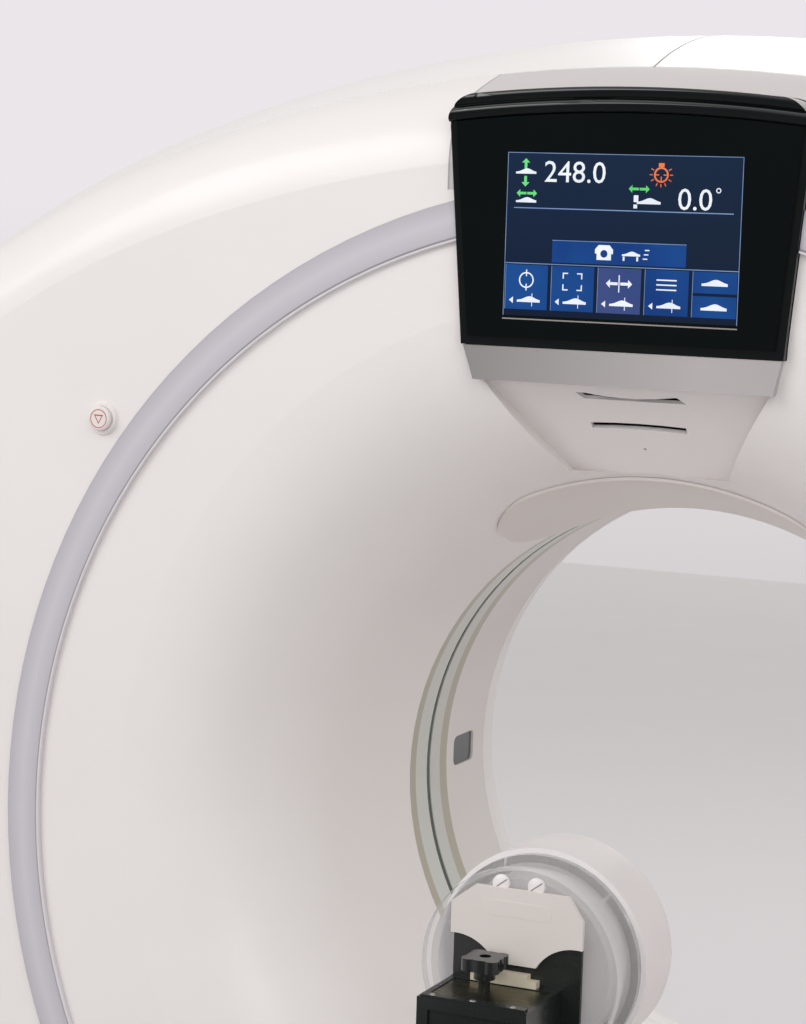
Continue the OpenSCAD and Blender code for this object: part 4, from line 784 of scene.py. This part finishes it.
def thumb_screw(name, x, z):
    """White slotted screw: a crowned head 18.6 mm across and 6 mm high on the flange's face,
    with a grey bar of 1.2 mm laid in it at 38 degrees as painted shade of the slot."""
    head = 0.0060
    profile = [(0, 0), (0.0088, 0), (0.0093, 0.0012), (0.0092, 0.0046), (0.0084, 0.0056),
               (0, head)]
    turned_piece(name, profile, (x, FLANGE_FACE, z), (0, -1, 0), "phantom_cast", "cradle")
    top = FLANGE_FACE - head
    # painted shade: a grey bar that stands in for the shade in the screw's slot
    prisms(name + "_slot_shade", [bar2(x, z, 0.0086, 0.0006, 38)], top - 0.00015, top + 0.0015,
           "mark_grey", "cradle")


def build_phantom():
    """Thumb screws, blank label and scale block of the phantom; screws, rail and tray of its
    holder box."""
    thumb_screw("thumb_screw_left", -0.0405, ISO + 0.001)
    thumb_screw("thumb_screw_right", -0.0020, ISO + 0.002)
    prisms("blank_label", [cut_corners(-0.0575, 0.9690, 0.0180, 0.9850, 0.002)],
           PLATE_FACE - 0.0003, PLATE_FACE, "lozenge_white", "cradle")
    # two-step block behind the knob, on the holder plate
    foot, step, top = 0.8985, 0.9070, 0.9125
    prisms("scale_block", [[(-0.066, foot), (0.006, foot), (0.006, step), (-0.004, step),
                            (-0.004, top), (-0.040, top), (-0.040, step), (-0.066, step)]],
           -0.521, -0.5105, "cream_scale", "cradle")
    screw = [(0, 0), (0.0038, 0), (0.0036, 0.0022), (0.0022, 0.0032), (0, 0.0034)]
    for i, x in enumerate((-0.074, -0.031, 0.012)):
        turned_piece(f"box_screw_{i}", screw, (x, -0.596, BOX_TOP), (0, 0, 1), "steel_bright",
                     "cradle", 20)
    prisms("box_rail", [box2(-0.086, BOX_TOP + 0.0001, 0.026, BOX_TOP + 0.0024)], -0.6005,
           -0.5915, "holder_anodised", "cradle")
    prisms("box_tray", [box2(-0.082, BOX_TOP - 0.0015, 0.022, BOX_TOP - 0.0008)], -0.581, -0.523,
           "olive_metal", "cradle")


# ---------------------------------------------------------------- couch pad

def get_points(mesh, what):
    """Coordinates or normals of a mesh's vertices, one row each."""
    values = np.empty(len(mesh.vertices) * 3)
    mesh.vertices.foreach_get(what, values)
    return values.reshape(-1, 3)


def build_pad():
    """Couch pad: the solid's shape drawn in a little, remeshed, then swollen by cloth pressure
    from inside. Its underside stays on the cradle's trough, and no point moves more than the
    cap."""
    draw_in, cap, voxel, frames = 0.0028, 0.0050, 0.008, 20
    mesh = nodes["cradle_pad"].data.copy()
    mesh.name = "couch_pad"
    mesh.transform(nodes["cradle_pad"].matrix_world)
    pad = outward(new_object("couch_pad", mesh))
    pad.modifiers.new("even_mesh", "REMESH").voxel_size = voxel
    pad.data = evaluated_mesh(pad)
    pad.modifiers.clear()
    mesh = pad.data
    start, normal = get_points(mesh, "co"), get_points(mesh, "normal")
    free = np.clip(normal[:, 2] + 0.6, 0.0, 1.0)[:, None]   # 0 underneath, 1 on top and sides
    start -= draw_in * free * normal
    mesh.vertices.foreach_set("co", start.ravel())
    cloth = pad.modifiers.new("swelling", "CLOTH").settings
    cloth.quality = 3
    cloth.use_pressure = True
    cloth.uniform_pressure_force = 4.0
    cloth.effector_weights.gravity = 0.0
    for step in range(1, frames + 1):
        bpy.context.scene.frame_set(step)
    swollen = evaluated_mesh(pad)
    pad.modifiers.clear()
    bpy.context.scene.frame_set(1)
    shift = (get_points(swollen, "co") - start) * free
    bpy.data.meshes.remove(swollen)
    length = np.maximum(np.linalg.norm(shift, axis=1, keepdims=True), 1e-9)
    start += shift * np.minimum(1.0, cap / length)
    mesh.vertices.foreach_set("co", start.ravel())
    mesh.materials.clear()
    mesh.materials.append(finish["pad_vinyl"])
    mesh.polygons.foreach_set("use_smooth", np.ones(len(mesh.polygons), bool))
    mesh.update()
    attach(pad, "cradle")
    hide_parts("cradle_pad")


# ---------------------------------------------------------------- stage, light and camera

def build_floor():
    """Pale floor, 9 m to each side and half a millimetre under the feet, with painted light that
    makes it lighter to the rear so that it fades into the backdrop.
    """
    half, level = 9.0, -0.0005
    mesh = bpy.data.meshes.new("floor")
    mesh.from_pydata([(-half, -half, level), (half, -half, level), (half, half, level),
                      (-half, half, level)], [], [(0, 1, 2, 3)])
    floor = new_object("floor", mesh)
    # painted light: the floor lightens towards its rear edge
    mesh.materials.append(banded(
        "floor_pale", rgb(214, 211, 214), lambda tree: object_axis(tree, 1, 1.0, half),
        [(0.0, rgb(212, 208, 210)), (0.35, rgb(222, 218, 219)), (1.0, rgb(250, 246, 247))]))


def build_world():
    """Even ambient light; the camera sees a pale backdrop that lightens towards the horizon."""
    world = bpy.data.worlds.new("room")
    bpy.context.scene.world = world
    world.use_nodes = True
    tree = world.node_tree
    tree.nodes.clear()
    path = add(tree, "ShaderNodeLightPath")
    seen = math_node(tree, "MAXIMUM", path.outputs["Is Camera Ray"],
                     path.outputs["Is Transmission Ray"])
    split = add(tree, "ShaderNodeSeparateXYZ")
    tree.links.new(add(tree, "ShaderNodeTexCoord").outputs["Generated"], split.inputs[0])
    rise = spread(tree, split.outputs[2], -0.17, 0.0)
    backdrop = add(tree, "ShaderNodeBackground")
    tree.links.new(mix_colour(tree, rise, rgb(207, 202, 203), rgb(235, 230, 234)),
                   backdrop.inputs["Color"])
    ambient = add(tree, "ShaderNodeBackground", Color=(1.0, 0.985, 0.98, 1.0), Strength=0.62)
    mix = add(tree, "ShaderNodeMixShader")
    for index, socket in enumerate((seen, ambient.outputs[0], backdrop.outputs[0])):
        tree.links.new(socket, mix.inputs[index])
    tree.links.new(mix.outputs[0], add(tree, "ShaderNodeOutputWorld").inputs["Surface"])


# name, place, point it faces, width, height and power in watts
LAMPS = (
    ("ceiling_left", (-2.6, -3.2, 3.6), (0, -0.3, 1.2), 3.0, 2.0, 70),
    ("ceiling_right", (1.8, -2.4, 3.4), (0.1, -0.4, 1.1), 2.2, 1.4, 22),
    ("room_front", (1.3, -3.9, 1.7), (0.1, -0.6, 0.75), 1.6, 1.2, 14),
    ("ceiling_back", (0.0, 3.4, 3.8), (0, 0.4, 1.0), 3.0, 1.6, 60),
)


def soft_lamp(name, place, target, width, height, power):
    """Rectangular area lamp that faces a point."""
    lamp = bpy.data.lights.new(name, "AREA")
    lamp.shape = "RECTANGLE"
    lamp.size, lamp.size_y, lamp.energy = width, height, power
    thing = new_object(name, lamp)
    thing.location = place
    thing.rotation_euler = (Vector(target) - Vector(place)).to_track_quat("-Z", "Y").to_euler()


def build_camera():
    """Camera of the photograph: turned 0.43 rad to the left of the bore's axis and slightly
    down, with a focal length of 2699 pixels on the picture's height of 1024."""
    place, yaw, pitch, roll = (0.9715, -2.9963, 1.684), 0.4279, -0.1137, 0.031
    focal_px, height_px, sensor = 2699, 1024, 36.0
    forward = Vector((-math.sin(yaw) * math.cos(pitch), math.cos(yaw) * math.cos(pitch),
                      math.sin(pitch)))
    right = Vector((math.cos(yaw), math.sin(yaw), 0))
    down = forward.cross(right)
    x_axis = math.cos(roll) * right - math.sin(roll) * down
    y_axis = -(math.sin(roll) * right + math.cos(roll) * down)
    data = bpy.data.cameras.new("photo_camera")
    data.sensor_width = sensor
    data.lens = focal_px * sensor / height_px
    data.clip_start, data.clip_end = 0.05, 100
    camera = new_object("photo_camera", data)
    turn = Matrix((x_axis, y_axis, -forward)).transposed().to_4x4()
    camera.matrix_world = Matrix.Translation(place) @ turn
    bpy.context.scene.camera = camera


build_screen()
stop_marks()
build_phantom()
build_pad()
build_floor()
build_world()
for lamp_row in LAMPS:
    soft_lamp(*lamp_row)
build_camera()
bpy.context.scene.view_settings.view_transform = "Standard"
